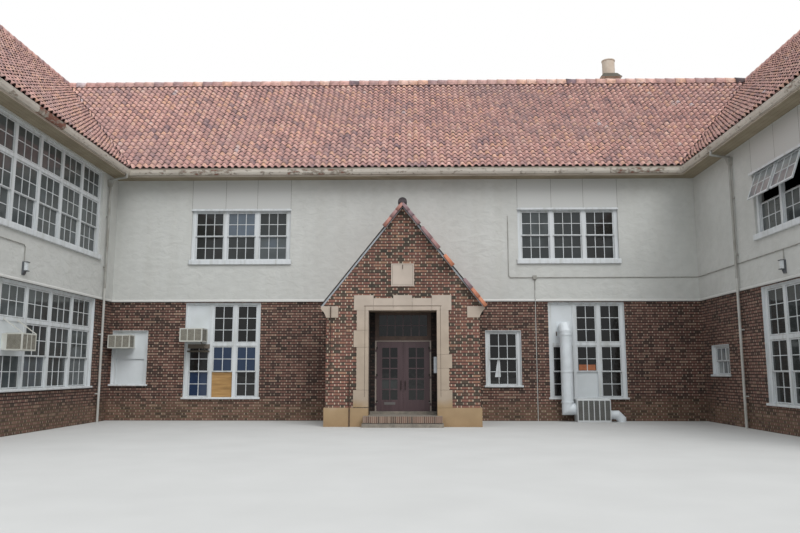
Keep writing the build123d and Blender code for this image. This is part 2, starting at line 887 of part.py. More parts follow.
main_cooler_foot = 2575
wing_cooler_foot = 2130
with BuildPart() as window_coolers:
    cooler(front, -7350, 750, main_cooler_foot, main_cooler_reach, shelf_light)
    with BuildSketch(front.face.offset(-reveal)):
        with Locations((shelf_light.x, shelf_rail_foot + shelf_rail_height / 2)):
            Rectangle(shelf_width, shelf_rail_height)
    extrude(amount=reveal + shelf_rail_proud)
    shelf_top = shelf_rail_foot + shelf_rail_height
    brace(
        front, -6640,
        (-main_cooler_reach, main_cooler_foot), (brace_depth - main_cooler_reach, main_cooler_foot),
        (brace_depth - shelf_rail_proud, shelf_top), (-shelf_rail_proud, shelf_top),
    )
    cooler(left_inner, -6300, 680, wing_cooler_foot, wing_cooler_reach, light_at(left_lower[0], (2, 1)))
    wing_cooler_top = wing_cooler_foot + cooler_height
    for x in (-6285, -5635):
        brace(
            left_inner, x,
            (-wing_cooler_reach, wing_cooler_top), (brace_depth - wing_cooler_reach, wing_cooler_top),
            (reveal, hanger_top - brace_depth), (reveal, hanger_top),
        )
    cooler(front, -9790, 740, 2370, far_cooler_reach, light_at(front_lower_left[0], (0, 1)))


def pipe(radius, *route):
    """A pipe along straight runs, mitred at its bends."""
    with BuildPart() as tube:
        with BuildLine() as middle:
            Polyline(*route)
        with BuildSketch(Plane(origin=middle.line @ 0, z_dir=middle.line % 0)):
            RegularPolygon(radius, pipe_sides)
        sweep(transition=Transition.RIGHT)
    return tube.part


# Cooling unit on the ground: a cabinet with upright louvre panels, and its round ducts
unit_middle = unit_left + unit_width / 2
unit_right = unit_left + unit_width
unit_front = unit_gap + unit_depth
with BuildPart() as ground_unit:
    with BuildSketch():
        with Locations((unit_middle, -(unit_gap + unit_front) / 2)):
            Rectangle(unit_width, unit_depth)
    extrude(amount=unit_height)
    chamfer(ground_unit.faces().sort_by(Axis.Z)[-1].edges(), unit_bevel)
    unit_pitch = (unit_width - unit_edge) / unit_panels
    with BuildSketch(front.face.offset(unit_front)):
        with Locations((unit_middle, unit_height / 2)):
            with GridLocations(unit_pitch, 0, unit_panels, 1):
                Rectangle(unit_pitch - unit_edge, unit_height - 4 * unit_edge)
    extrude(amount=-unit_edge, mode=Mode.SUBTRACT)

with BuildPart() as unit_ducts:
    add(pipe(
        duct_radius,
        (duct_x, reveal + sash_setback, duct_top),
        (duct_x, duct_turn - duct_line, duct_top),
        (duct_x, -duct_line, duct_top - duct_turn),
        (duct_x, -duct_line, duct_foot),
        (unit_left, -duct_line, duct_foot),
    ))
    add(pipe(
        elbow_radius,
        (unit_right, -elbow_line, elbow_level),
        (unit_right + elbow_run, -elbow_line, elbow_level),
        (unit_right + elbow_run + elbow_radius, -elbow_line, elbow_level - elbow_radius),
        (unit_right + elbow_run + elbow_radius, -elbow_line, 0),
    ))


# Downspouts: an outlet under the gutter, a head on the upper wall and a strapped pipe to the ground
def downspout(side, outlet_y, pipe_y):
    outlet_x = side * (court_half + fascia_front - downspout_radius - downspout_clearance)
    wall_x = side * (court_half - downspout_line)
    with BuildPart() as spout:
        add(pipe(
            downspout_radius,
            (outlet_x, outlet_y, gutter_foot),
            (outlet_x, outlet_y, gutter_foot - outlet_drop),
            (wall_x, pipe_y, head_top + downspout_neck),
            (wall_x, pipe_y, 0),
        ))
        upper_gap = downspout_line - stucco_proud
        for drop, shrink in ((0, 0), (head_height, head_taper)):
            with BuildSketch(Plane.XY.offset(head_top - drop)):
                with Locations((wall_x + side * shrink / 2, pipe_y)):
                    Rectangle(2 * upper_gap - shrink, head_width - 2 * shrink)
        loft()
        for level in strap_levels:
            reach = downspout_line if level < brick_top else upper_gap
            with Locations((wall_x + side * reach / 2, pipe_y, level)):
                Box(reach, 2 * (downspout_radius + strap_edge), strap_height)
    return spout.part


with BuildPart() as downspouts:
    add(downspout(-1, left_outlet, left_pipe))
    add(downspout(1, right_outlet, right_pipe))

# Wall lamps: a back box with a lid over and under the lens, and a tapered tail
lamp_places = ((left_inner, lamp_left), (right_inner, -lamp_right))
lamp_top = lamp_foot + lamp_height
with BuildPart() as wall_lamps:
    for run, x in lamp_places:
        with BuildSketch(depth_plane(run, x - lamp_width / 2)):
            with BuildLine():
                Polyline(
                    (stucco_face, lamp_foot - lamp_tail),
                    (stucco_face, lamp_top),
                    (stucco_face - lamp_reach, lamp_top),
                    (stucco_face - lamp_reach, lamp_top - lamp_lid),
                    (stucco_face - lamp_depth, lamp_top - lamp_lid),
                    (stucco_face - lamp_depth, lamp_foot + lamp_lid),
                    (stucco_face - lamp_reach, lamp_foot + lamp_lid),
                    (stucco_face - lamp_reach, lamp_foot),
                    (stucco_face - lamp_depth, lamp_foot),
                    (stucco_face - lamp_tail_depth, lamp_foot - lamp_tail),
                    close=True,
                )
            make_face()
        extrude(amount=lamp_width)

with BuildPart() as lamp_glass:
    for run, x in lamp_places:
        lens_middle = run.face.origin + run.face.x_dir * x + run.face.z_dir * (stucco_proud + lamp_depth)
        lens_foot = lens_middle + UP * (lamp_foot + lamp_lid)
        with BuildSketch(Plane(origin=lens_foot, x_dir=run.face.x_dir, z_dir=UP)):
            Circle(lens_radius)
            Rectangle(2 * lens_radius, lens_radius, align=(Align.CENTER, Align.MIN), mode=Mode.SUBTRACT)
        extrude(amount=lamp_height - 2 * lamp_lid)

# Conduits from the lamps to boxes, up beside the windows and down to the ground, held by straps
conduit_out = stucco_proud + conduit_line
drip_out = conduit_out + drip_proud
conduit_x = court_half - conduit_out
drip_top = brick_top + drip_height
with BuildPart() as wall_conduits:
    add(pipe(
        conduit_radius,
        (riser_x, -conduit_out, riser_top),
        (riser_x, -conduit_out, conduit_level + conduit_bend),
        (riser_x + conduit_bend, -conduit_out, conduit_level),
        (conduit_x - conduit_bend, -conduit_out, conduit_level),
        (conduit_x, -conduit_out - conduit_bend, conduit_level),
        (conduit_x, -conduit_end, conduit_level),
    ))
    add(pipe(conduit_radius, (conduit_x, lamp_right, lamp_top), (conduit_x, lamp_right, conduit_level)))
    add(pipe(
        conduit_radius,
        (drop_x, -conduit_out, conduit_level),
        (drop_x, -conduit_out, drip_top + 2 * conduit_bend),
        (drop_x, -drip_out, drip_top + conduit_bend),
        (drop_x, -drip_out, brick_top - conduit_bend),
        (drop_x, -conduit_line, brick_top - 2 * conduit_bend),
        (drop_x, -conduit_line, 0),
    ))
    add(pipe(
        conduit_radius,
        (-conduit_x, lamp_left, lamp_top),
        (-conduit_x, lamp_left, left_conduit_level - conduit_bend),
        (-conduit_x, lamp_left - conduit_bend, left_conduit_level),
        (-conduit_x, -conduit_end, left_conduit_level),
    ))
    for run, x, level in (
        (front, drop_x, conduit_level),
        (right_inner, conduit_end, conduit_level),
        (left_inner, -conduit_end, left_conduit_level),
    ):
        with BuildSketch(run.face.offset(stucco_proud)):
            with Locations((x, level)):
                Rectangle(conduit_box, conduit_box)
        extrude(amount=conduit_box_depth)
    for run, level, places in (
        (front, conduit_level, (6000, 7700, 9300)),
        (right_inner, conduit_level, (1500, 4400, 7700)),
        (left_inner, left_conduit_level, (-7700,)),
    ):
        with BuildSketch(run.face.offset(stucco_proud)):
            with Locations(*[(x, level) for x in places]):
                Rectangle(conduit_strap, conduit_strap)
        extrude(amount=conduit_line)
    for x, proud, levels in ((riser_x, stucco_proud, (5600, 6600)), (drop_x, 0, (300, 1600, 3000))):
        with BuildSketch(front.face.offset(proud)):
            with Locations(*[(x, level) for level in levels]):
                Rectangle(conduit_strap, conduit_strap)
        extrude(amount=conduit_line)

# Porch: gabled brick front, stone surround, plinths and kneelers
porch_half = porch_width / 2
porch_inner = porch_half - porch_wall
porch_back = -porch_projection + porch_wall      # back of the porch's front wall
porch_front_face = Plane.XZ.offset(porch_projection)
gable_rise = (gable_apex - gable_foot) / gable_reach
doorway_half = doorway_width / 2
door_line = -porch_projection + door_setback


# Heights of the joints between jamb stones, and the courses whose stones are wide
jamb_joints_left = (0, plinth_height, 1065, 2320, 2820, doorway_head)
jamb_joints_right = (0, plinth_height, 1065, 1700, 2110, doorway_head)
wide_left = (0, 1, 3)
wide_right = (0, 1, 3)
lintel_joints = (-surround_wide, -870, -285, 285, 870, surround_wide)
lintel_drops = (0, 90, 0, 90, 0)


def surround_stones(joint, mode=Mode.ADD):
    """The stones round the doorway, seen from the front, with a joint between them."""
    for side, joints, wide in ((-1, jamb_joints_left, wide_left), (1, jamb_joints_right, wide_right)):
        for number, (low, high) in enumerate(zip(joints[:-1], joints[1:])):
            outer = surround_wide if number in wide else surround_narrow
            with Locations((side * (doorway_half + outer) / 2, (low + high) / 2)):
                Rectangle(outer - doorway_half, high - low - joint, mode=mode)
    for left, right, drop in zip(lintel_joints[:-1], lintel_joints[1:], lintel_drops):
        height = surround_top - drop - doorway_head
        with Locations(((left + right) / 2, doorway_head + height / 2)):
            Rectangle(right - left - joint, height, mode=mode)


with BuildPart() as door_surround:
    with BuildSketch(porch_front_face.offset(plinth_proud)):
        surround_stones(stone_joint)
    extrude(amount=-(porch_wall + plinth_proud))

with BuildSketch() as kneeler_profile:
    with BuildLine():
        Polyline(
            (porch_half, gable_foot - kneeler_height),
            (kneeler_inner, gable_foot - kneeler_height),
            (kneeler_inner, gable_foot),
            (gable_reach, gable_foot),
            (gable_reach, gable_foot - kneeler_height / 4),
        )
        ThreePointArc(
            (gable_reach, gable_foot - kneeler_height / 4),
            (porch_half + (gable_reach - porch_half) * 0.35, gable_foot - kneeler_height * 0.62),
            (porch_half, gable_foot - kneeler_height),
        )
    make_face()
    mirror(about=Plane.YZ)

with BuildPart() as porch_stones:
    with BuildSketch(porch_front_face.offset(plinth_proud)):
        plinth_end = porch_half + plinth_proud
        for side in (-1, 1):
            with Locations((side * (surround_wide + plinth_end) / 2, plinth_height / 2)):
                Rectangle(plinth_end - surround_wide, plinth_height)
        add(kneeler_profile.sketch_local)
    extrude(amount=-(porch_wall + plinth_proud))
    with BuildSketch(porch_front_face.offset(stone_block_proud)):
        with Locations((0, stone_block_foot + stone_block / 2)):
            Rectangle(stone_block, stone_block)
    extrude(amount=-2 * stone_block_proud)

with BuildPart() as porch_walls_front:
    with BuildSketch(porch_front_face):
        for side in (-1, 1):
            with Locations((side * (porch_half + doorway_half) / 2, (plinth_height + gable_foot) / 2)):
                Rectangle(porch_half - doorway_half, gable_foot - plinth_height)
        surround_stones(0, Mode.SUBTRACT)
        add(kneeler_profile.sketch_local, mode=Mode.SUBTRACT)
    extrude(amount=-porch_wall)

with BuildPart() as porch_gable:
    with BuildSketch(porch_front_face):
        with BuildLine():
            Polyline((-gable_reach, gable_foot), (gable_reach, gable_foot), (0, gable_apex), close=True)
        make_face()
        surround_stones(0, Mode.SUBTRACT)
    extrude(amount=-porch_wall)
    with BuildSketch(porch_front_face):
        with Locations((0, stone_block_foot + stone_block / 2)):
            Rectangle(stone_block, stone_block)
    extrude(amount=-stone_block_proud, mode=Mode.SUBTRACT)

# Porch behind its front wall: side walls, roof, ceiling and rake flashing
porch_roof_drop = porch_roof_thickness * (1 + gable_rise ** 2) ** 0.5
porch_depth = porch_projection - porch_wall


def gable_line(x):
    """Height of the gable's rake at a distance from its middle."""
    return gable_apex - x * gable_rise


with BuildPart() as porch_side_walls:
    with BuildSketch(porch_front_face.offset(-porch_wall)):
        with BuildLine():
            Polyline(
                (porch_half, 0),
                (porch_half, gable_line(porch_half) - porch_roof_drop),
                (porch_inner, gable_line(porch_inner) - porch_roof_drop),
                (porch_inner, 0),
                close=True,
            )
        make_face()
        mirror(about=Plane.YZ)
    extrude(amount=-porch_depth)
    with BuildSketch(Plane.XZ):
        with Locations((0, brick_top + stucco_proud)):
            Rectangle(2 * porch_half, 2 * stucco_proud, align=(Align.CENTER, Align.CENTER))
    extrude(amount=stucco_proud, mode=Mode.SUBTRACT)

with BuildPart() as porch_roof:
    with BuildSketch(porch_front_face.offset(-porch_wall)):
        with BuildLine():
            Polyline(
                (mitre_gap / 2, gable_line(mitre_gap / 2)),
                (gable_reach, gable_line(gable_reach)),
                (gable_reach, gable_line(gable_reach) - porch_roof_drop),
                (mitre_gap / 2, gable_line(mitre_gap / 2) - porch_roof_drop),
                close=True,
            )
        make_face()
        mirror(about=Plane.YZ)
    extrude(amount=-(porch_depth - stucco_proud))

with BuildPart() as porch_ceiling:
    with BuildSketch(Plane.XY.offset(doorway_head)):
        with Locations((0, porch_back + porch_depth / 2)):
            Rectangle(2 * porch_inner, porch_depth)
    extrude(amount=porch_ceiling_slab)

coping_drop = coping_thickness * (1 + gable_rise ** 2) ** 0.5
with BuildPart() as rake_flashing:
    with BuildSketch(porch_front_face.offset(coping_width - porch_wall)):
        with BuildLine():
            Polyline(
                (mitre_gap / 2, gable_line(mitre_gap / 2)),
                (gable_reach, gable_line(gable_reach)),
                (gable_reach, gable_line(gable_reach) + coping_drop),
                (mitre_gap / 2, gable_line(mitre_gap / 2) + coping_drop),
                close=True,
            )
        make_face()
        mirror(about=Plane.YZ)
    extrude(amount=-coping_width)

# Landing in front of the doors and floor behind them
with BuildPart() as entrance_landing:
    landing_back = door_line
    landing_front = -porch_projection - landing_reach
    surround_front = -porch_projection - plinth_proud
    with BuildSketch():
        with Locations((0, (landing_front + surround_front) / 2)):
            Rectangle(landing_width, surround_front - landing_front)
        with Locations((0, (surround_front + landing_back) / 2)):
            Rectangle(doorway_width, landing_back - surround_front)
    extrude(amount=landing_top)
    with BuildSketch():
        base_front = landing_front - landing_base_proud
        with Locations((0, (base_front + surround_front) / 2)):
            Rectangle(landing_width + 2 * landing_base_proud, surround_front - base_front)
    extrude(amount=landing_base)

with BuildPart() as vestibule_floor:
    with BuildSketch():
        with Locations((0, door_line / 2)):
            Rectangle(2 * porch_inner, -door_line)
        with Locations((0, brick_wall / 2)):
            Rectangle(hall_doorway_width, brick_wall)
    extrude(amount=ground_floor_top)

# Brick lining of the recess and the piers beside the doors
frame_half = door_opening / 2 + door_frame_width
recess_end = door_line - mitre_gap
with BuildPart() as recess_walls:
    with BuildSketch():
        for side in (-1, 1):
            with Locations((side * (doorway_half + recess_wall / 2), (porch_back + recess_end) / 2)):
                Rectangle(recess_wall, recess_end - porch_back)
    extrude(amount=doorway_head)
    with BuildSketch(Plane.XY.offset(ground_floor_top)):
        for side in (-1, 1):
            with Locations((side * (frame_half + porch_inner) / 2, door_line + recess_wall / 2)):
                Rectangle(porch_inner - frame_half, recess_wall)
    extrude(amount=doorway_head - ground_floor_top)

# Entrance doors in their frame, each on three hinges whose pins stand in front of the doors' face
door_face = Plane.XZ.offset(-door_line)
hinge_half = door_opening / 2
transom_foot = door_head + door_transom_bar
transom_height = doorway_head - transom_foot
transom_glass_width = door_opening - 2 * transom_frame
transom_glass_height = transom_height - 2 * transom_frame


def hinge_knuckles(side, of_leaf):
    """Knuckles and plates of one door's lift-off hinges: the leaf's, or the frame's just below them."""
    pin_plane = door_line - hinge_offset
    level = (hinge_knuckle + hinge_play) / 2 * (1 if of_leaf else -1)
    inward = -side if of_leaf else side
    for height in hinge_heights:
        middle = height + level
        with BuildSketch(Plane.XY.offset(middle - hinge_knuckle / 2)) as knuckle:
            with Locations((side * hinge_half, pin_plane)):
                RegularPolygon(hinge_radius, hinge_sides)
        extrude(knuckle.sketch, amount=hinge_knuckle)
        plate_middle = side * hinge_half + inward * (hinge_play + hinge_reach) / 2
        with Locations((plate_middle + inward * hinge_plate / 2, door_line - hinge_plate / 2, middle)):
            Box(hinge_reach - hinge_plate, hinge_plate, hinge_knuckle)


with BuildPart() as door_frame:
    with BuildSketch(door_face):
        frame_height = doorway_head - ground_floor_top
        with Locations((0, (ground_floor_top + doorway_head) / 2)):
            Rectangle(2 * frame_half, frame_height)
        with Locations((0, (ground_floor_top + door_head) / 2)):
            Rectangle(door_opening, door_head - ground_floor_top, mode=Mode.SUBTRACT)
        with Locations((0, transom_foot + transom_height / 2)):
            Rectangle(transom_glass_width, transom_glass_height, mode=Mode.SUBTRACT)
    extrude(amount=-door_frame_depth)

with BuildPart() as door_hinges:
    for side in (-1, 1):
        hinge_knuckles(side, False)

with BuildPart() as transom_glass:
    with BuildSketch(door_face.offset(-door_frame_depth / 2)):
        with Locations((0, transom_foot + transom_height / 2)):
            Rectangle(transom_glass_width, transom_glass_height)
    extrude(amount=-glass_thickness)

leaf_width = (door_opening - 3 * door_clearance) / 2
leaf_foot = ground_floor_top + door_clearance
leaf_height = door_head - door_clearance - leaf_foot
leaf_middle = (door_clearance + leaf_width) / 2
light_width = leaf_width - 2 * door_stile
light_height = leaf_height - door_top_rail - door_bottom_rail
light_middle = leaf_foot + door_bottom_rail + light_height / 2


def door_leaf(side):
    """A glazed leaf: stiles and rails round one light."""
    with BuildPart() as leaf:
        with BuildSketch(door_face):
            with Locations((side * leaf_middle, leaf_foot + leaf_height / 2)):
                Rectangle(leaf_width, leaf_height)
            with Locations((side * leaf_middle, light_middle)):
                Rectangle(light_width, light_height, mode=Mode.SUBTRACT)
        extrude(amount=-door_thickness)
    return leaf.part


def door_light(side):
    """The glass of a leaf."""
    with BuildPart() as glass:
        with BuildSketch(door_face.offset(-(door_thickness - glass_thickness) / 2)):
            with Locations((side * leaf_middle, light_middle)):
                Rectangle(light_width, light_height)
        extrude(amount=-glass_thickness)
    return glass.part


def door_fittings(side):
    """A leaf's hinge plates and its bar handle on two posts, near the meeting edge."""
    x = side * (door_clearance / 2 + pull_inset)
    bar_line = door_line - pull_standoff
    with BuildPart() as fittings:
        hinge_knuckles(side, True)
        with Locations((x, bar_line, pull_height)):
            Cylinder(pull_radius, pull_length)
        for end in (-1, 1):
            post_height = pull_height + end * (pull_length / 2 - 2 * pull_radius)
            with BuildSketch(door_face):
                with Locations((x, post_height)):
                    Circle(pull_radius * 0.8)
            extrude(amount=pull_standoff)
    return fittings.part


with BuildPart() as door_left:
    add(door_leaf(-1))

with BuildPart() as door_right:
    add(door_leaf(1))

with BuildPart() as door_left_glass:
    add(door_light(-1))

with BuildPart() as door_right_glass:
    add(door_light(1))

with BuildPart() as door_left_fittings:
    add(door_fittings(-1))
    with BuildSketch(door_face):
        with Locations((-leaf_middle, mail_slot_height)):
            Rectangle(mail_slot_width, mail_slot_depth)
    extrude(amount=fitting_thickness)

with BuildPart() as door_right_fittings:
    add(door_fittings(1))

pieces = {
    "front_walls_lower": front_walls_lower,
    "front_wall_over_hall_door": front_wall_over_hall_door,
    "left_wing_wall_lower": left_wing_wall_lower,
    "right_wing_wall_lower": right_wing_wall_lower,
    "wing_end_walls_lower": wing_end_walls_lower,
    "outer_walls_lower": outer_walls_lower,
    "back_wall_lower": back_wall_lower,
    "front_wall_upper": front_wall_upper,
    "left_wing_wall_upper": left_wing_wall_upper,
    "right_wing_wall_upper": right_wing_wall_upper,
    "wing_end_walls_upper": wing_end_walls_upper,
    "outer_walls_upper": outer_walls_upper,
    "back_wall_upper": back_wall_upper,
    "ground_floor": ground_floor,
    "upper_floor": upper_floor,
    "attic_floor": attic_floor,
    "roof_front": roof_front,
    "roof_back": roof_back,
    "roof_wing_inner": roof_wing_inner,
    "roof_wing_outer": roof_wing_outer,
    "roof_wing_ends": roof_wing_ends,
    "ridge_caps": ridge_caps,
    "roof_vent": roof_vent,
    "eaves_boards": eaves_boards,
    "gutters": gutters,
    "windows_front": windows_front,
    "windows_wings": windows_wings,
    "windows_outside": windows_outside,
    "open_sashes": open_sashes,
    "window_glass": window_glass,
    "window_boards": window_boards,
    "plywood_boards": plywood_boards,
    "window_coolers": window_coolers,
    "ground_unit": ground_unit,
    "unit_ducts": unit_ducts,
    "downspouts": downspouts,
    "wall_lamps": wall_lamps,
    "lamp_glass": lamp_glass,
    "wall_conduits": wall_conduits,
    "door_surround": door_surround,
    "porch_stones": porch_stones,
    "porch_walls_front": porch_walls_front,
    "porch_gable": porch_gable,
    "porch_side_walls": porch_side_walls,
    "porch_roof": porch_roof,
    "porch_ceiling": porch_ceiling,
    "rake_flashing": rake_flashing,
    "entrance_landing": entrance_landing,
    "vestibule_floor": vestibule_floor,
    "recess_walls": recess_walls,
    "door_frame": door_frame,
    "door_hinges": door_hinges,
    "transom_glass": transom_glass,
    "door_left": door_left,
    "door_right": door_right,
    "door_left_glass": door_left_glass,
    "door_right_glass": door_right_glass,
    "door_left_fittings": door_left_fittings,
    "door_right_fittings": door_right_fittings,
}
os.makedirs("parts", exist_ok=True)
for name, piece in pieces.items():
    piece.part.label = name
    export_step(piece.part, f"parts/{name}.step")
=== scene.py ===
import functools
import math
import random
from collections import namedtuple
import bmesh
import bpy
from mathutils import Matrix, Vector


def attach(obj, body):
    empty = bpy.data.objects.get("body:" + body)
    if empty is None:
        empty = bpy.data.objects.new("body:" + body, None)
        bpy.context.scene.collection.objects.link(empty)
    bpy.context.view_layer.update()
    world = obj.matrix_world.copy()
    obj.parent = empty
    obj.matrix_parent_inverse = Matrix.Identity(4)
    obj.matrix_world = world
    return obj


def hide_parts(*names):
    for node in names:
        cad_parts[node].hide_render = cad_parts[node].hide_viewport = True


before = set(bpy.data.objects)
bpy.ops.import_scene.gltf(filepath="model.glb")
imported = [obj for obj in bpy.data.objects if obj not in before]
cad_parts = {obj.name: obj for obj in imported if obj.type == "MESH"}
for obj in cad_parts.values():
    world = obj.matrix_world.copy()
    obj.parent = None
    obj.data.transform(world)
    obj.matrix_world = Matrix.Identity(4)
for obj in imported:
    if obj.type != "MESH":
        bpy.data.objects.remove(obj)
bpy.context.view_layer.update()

# Brick walls of the ground storey and porch: wire-cut clay bricks in Flemish bond, laid in lime mortar.
# Firing leaves each brick its own red, brown or plum tone; rain splashes keep the foot dusty.


def linear(code):
    """An sRGB hex colour as linear RGBA."""
    parts = [int(code[i:i + 2], 16) / 255 for i in (0, 2, 4)]
    return tuple(c / 12.92 if c <= 0.04045 else ((c + 0.055) / 1.055) ** 2.4 for c in parts) + (1.0,)


def node(material, kind, inputs=(), out=0, stops=(), **settings):
    """Adds a shader node with its settings and links, and returns one of its outputs.

    A kind in capitals is an operation of a Math node. A Mix given sockets 6 and 7 mixes these two colours.
    Inputs are values or outputs by socket, or just in the order of the sockets.
    """
    made = material.node_tree.nodes.new("ShaderNode" + ("Math" if kind.isupper() else kind))
    if kind.isupper():
        made.operation = kind
    if kind == "Mix" and 6 in inputs:
        made.data_type, out = "RGBA", 2
    for name, value in settings.items():
        setattr(made, name, value)
    for number, (place, code) in enumerate(stops):
        ramp = made.color_ramp.elements
        element = ramp[number] if number < 2 else ramp.new(1.0)
        element.position, element.color = place, linear(code)
    for name, value in inputs.items() if isinstance(inputs, dict) else enumerate(inputs):
        if isinstance(value, bpy.types.NodeSocket):
            material.node_tree.links.new(value, made.inputs[name])
        else:
            made.inputs[name].default_value = value
    return made.outputs[out] if made.outputs else None


def new_material(name):
    """An empty material, the function that adds nodes to it, and the coordinates of its piece in metres."""
    material = bpy.data.materials.new(name)
    material.use_nodes = True
    material.node_tree.nodes.clear()
    add = functools.partial(node, material)
    return material, add, add("TexCoord", out="Object")


def finish(material, colour, roughness, relief=None, depth=0.001, **sockets):
    """Ends a material: colour, roughness and a relief of some depth in metres."""
    inputs = {"Base Color": colour, "Roughness": roughness}
    if relief is not None:
        inputs["Normal"] = node(material, "Bump", {"Height": relief, "Distance": depth, "Strength": 1.0})
    inputs.update({name.replace("_", " "): value for name, value in sockets.items()})
    node(material, "OutputMaterial", {"Surface": node(material, "BsdfPrincipled", inputs)})
    return material


def dress(material, *names):
    """Gives CAD nodes a material."""
    for name in names:
        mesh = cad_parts[name].data
        mesh.materials.clear()
        mesh.materials.append(material)


def face_grid(add, position):
    """Distances along and up a wall: x or y, as the face runs, and z; on a level face x and y."""
    normal = add("SeparateXYZ", (add("TexCoord", out="Normal"),)).node
    sideways, level = (add("ABSOLUTE", (normal.outputs[i],)) for i in (0, 2))
    sideways = add("GREATER_THAN", (sideways, 0.7))
    level = add("GREATER_THAN", (level, 0.7))
    axis = add("SeparateXYZ", (position,)).node
    along = add("Mix", {0: sideways, 2: axis.outputs[0], 3: axis.outputs[1]})
    up = add("Mix", {0: level, 2: axis.outputs[2], 3: axis.outputs[1]})
    return along, up


def brickwork(name, tones, head_joint, bed_joint, dust_tone, foot_height):
    """Flemish bond: courses of 89 mm, a 229 mm stretcher and a 115 mm header in each 344 mm."""
    course, repeat, stretcher = 0.0893, 0.344, 0.666    # the stretcher as a share of the repeat
    material, add, position = new_material(name)
    along, up = face_grid(add, position)
    courses = add("MULTIPLY", (up, 1 / course))
    row = add("FLOOR", (courses,))
    odd = add("FLOORED_MODULO", (row, 2.0))
    bonds = add("MULTIPLY", (along, 1 / repeat))
    shifted = add("MULTIPLY_ADD", (odd, 0.5, bonds))
    bond = add("FLOOR", (shifted,))
    part = add("FRACT", (shifted,))
    header = add("GREATER_THAN", (part, stretcher))
    # Distances in metres to the nearest bed joint and the nearest head joint
    bed = add("PINGPONG", (courses, 0.5))
    bed = add("MULTIPLY", (bed, course))
    ends = add("PINGPONG", (shifted, 0.5))
    head = add("SUBTRACT", (part, stretcher))
    head = add("ABSOLUTE", (head,))
    head = add("MINIMUM", (head, ends))
    head = add("MULTIPLY", (head, repeat))
    in_bed = add("MapRange", (bed, 0.009, 0.016, 1.0, 0.0), interpolation_type="SMOOTHSTEP")
    in_head = add("MapRange", (head, 0.009, 0.014, 1.0, 0.0), interpolation_type="SMOOTHSTEP")
    # A tone for each brick and grain on all of them
    which = add("MULTIPLY_ADD", (header, 0.5, bond))
    cell = add("CombineXYZ", (which, row, 0.0))
    chance = add("TexWhiteNoise", {"Vector": cell}, noise_dimensions="3D")
    colour = add("ValToRGB", (chance,), stops=tones)
    grain = add("TexNoise", {"Vector": position, "Scale": 60.0, "Detail": 3.0})
    shade = add("MapRange", (grain, 0.3, 0.7, 0.82, 1.18))
    colour = add("Mix", {0: 1.0, 6: colour, 7: shade}, blend_type="MULTIPLY")
    # Head joints are flush and pale in patches, and fade out toward the bed joints
    blotch = add("TexNoise", {"Vector": position, "Scale": 13.0, "Detail": 2.0})
    flush = add("MapRange", (blotch, 0.34, 0.54, 0.25, 1.0))
    flush = add("MULTIPLY", (flush, in_head))
    core = add("MapRange", (bed, 0.014, 0.022, 0.15, 1.0))
    flush = add("MULTIPLY", (flush, core))
    colour = add("Mix", {0: flush, 6: colour, 7: linear(head_joint)})
    # Bed joints are raked and lie in shadow; dust fills them up to a ragged line over the foot
    drift = add("TexNoise", {"Vector": position, "Scale": 0.7, "Detail": 4.0})
    height = add("SeparateXYZ", (position,), out=2)
    ragged = add("MULTIPLY_ADD", (drift, 0.9, -0.45))
    height = add("ADD", (height, ragged))
    low = add("MapRange", (height, foot_height * 0.55, foot_height, 1.0, 0.0))
    ledge = add("Mix", {0: low, 6: linear(bed_joint), 7: linear(dust_tone)})
    film = add("MULTIPLY", (low, 0.14))
    colour = add("Mix", {0: film, 6: colour, 7: linear(dust_tone)})
    colour = add("Mix", {0: in_bed, 6: colour, 7: ledge})
    stain = add("MapRange", (drift, 0.35, 0.7, 0.78, 1.15))
    colour = add("Mix", {0: 1.0, 6: colour, 7: stain}, blend_type="MULTIPLY")
    relief = add("MULTIPLY_ADD", (grain, 0.25, 1.0))
    relief = add("SUBTRACT", (relief, in_bed))
    rough = add("MapRange", (grain, 0.3, 0.7, 0.8, 0.95))
    return finish(material, colour, rough, relief, 0.008, IOR=1.5)


plum_brick = brickwork(
    "plum_flemish_brick",
    [(0.0, "44362f"), (0.15, "543f38"), (0.4, "6a4d44"), (0.7, "745449"), (0.9, "7e5f54"), (1.0, "8d7463")],
    "b0a08d", "1c1512", "62543e", 0.8,
)
dress(plum_brick, "front_walls_lower", "front_wall_over_hall_door", "left_wing_wall_lower",
      "right_wing_wall_lower", "wing_end_walls_lower", "outer_walls_lower", "back_wall_lower")
porch_brick = brickwork(
    "porch_flemish_brick",
    [(0.0, "413b33"), (0.2, "54493d"), (0.32, "705045"), (0.65, "80584d"), (0.9, "8a6252"), (1.0, "97755f")],
    "c8bba5", "3c2f2a", "7b6949", 0.5,
)
dress(porch_brick, "porch_walls_front", "porch_gable", "porch_side_walls")
# The brick of the doorway recess is the same bond in far darker tones, as painted shade of the deep recess.
recess_brick = brickwork(
    "recess_brick_in_painted_shade",
    [(0.0, "0f0c0b"), (0.5, "251814"), (1.0, "32221d")], "41362e", "130e0c", "3a3228", 0.5,
)
dress(recess_brick, "recess_walls")

# Upper walls: cement stucco trowelled by hand over brick and painted a pale cream, gone grey with rain.
# Its foot ends in a white painted drip moulding that throws water clear of the brick.
stucco, add, position = new_material("painted_hand_trowelled_stucco")
sweeps = add("Mapping", {"Vector": position, "Scale": (1.0, 1.0, 1.5)})
sweep = add("TexNoise", {"Vector": sweeps, "Scale": 3.6, "Detail": 6.0, "Distortion": 0.5})
grit = add("TexNoise", {"Vector": position, "Scale": 45.0, "Detail": 3.0})
streaks = add("Mapping", {"Vector": position, "Scale": (2.6, 2.6, 0.16)})
streak = add("TexNoise", {"Vector": streaks, "Scale": 1.0, "Detail": 5.0})
patch = add("TexNoise", {"Vector": position, "Scale": 0.45, "Detail": 2.0})
tone = add("ValToRGB", (patch,), stops=[(0.3, "bbbcb8"), (0.6, "c3c4c0")])
grime = add("MapRange", (streak, 0.45, 0.75, 0.0, 0.12))
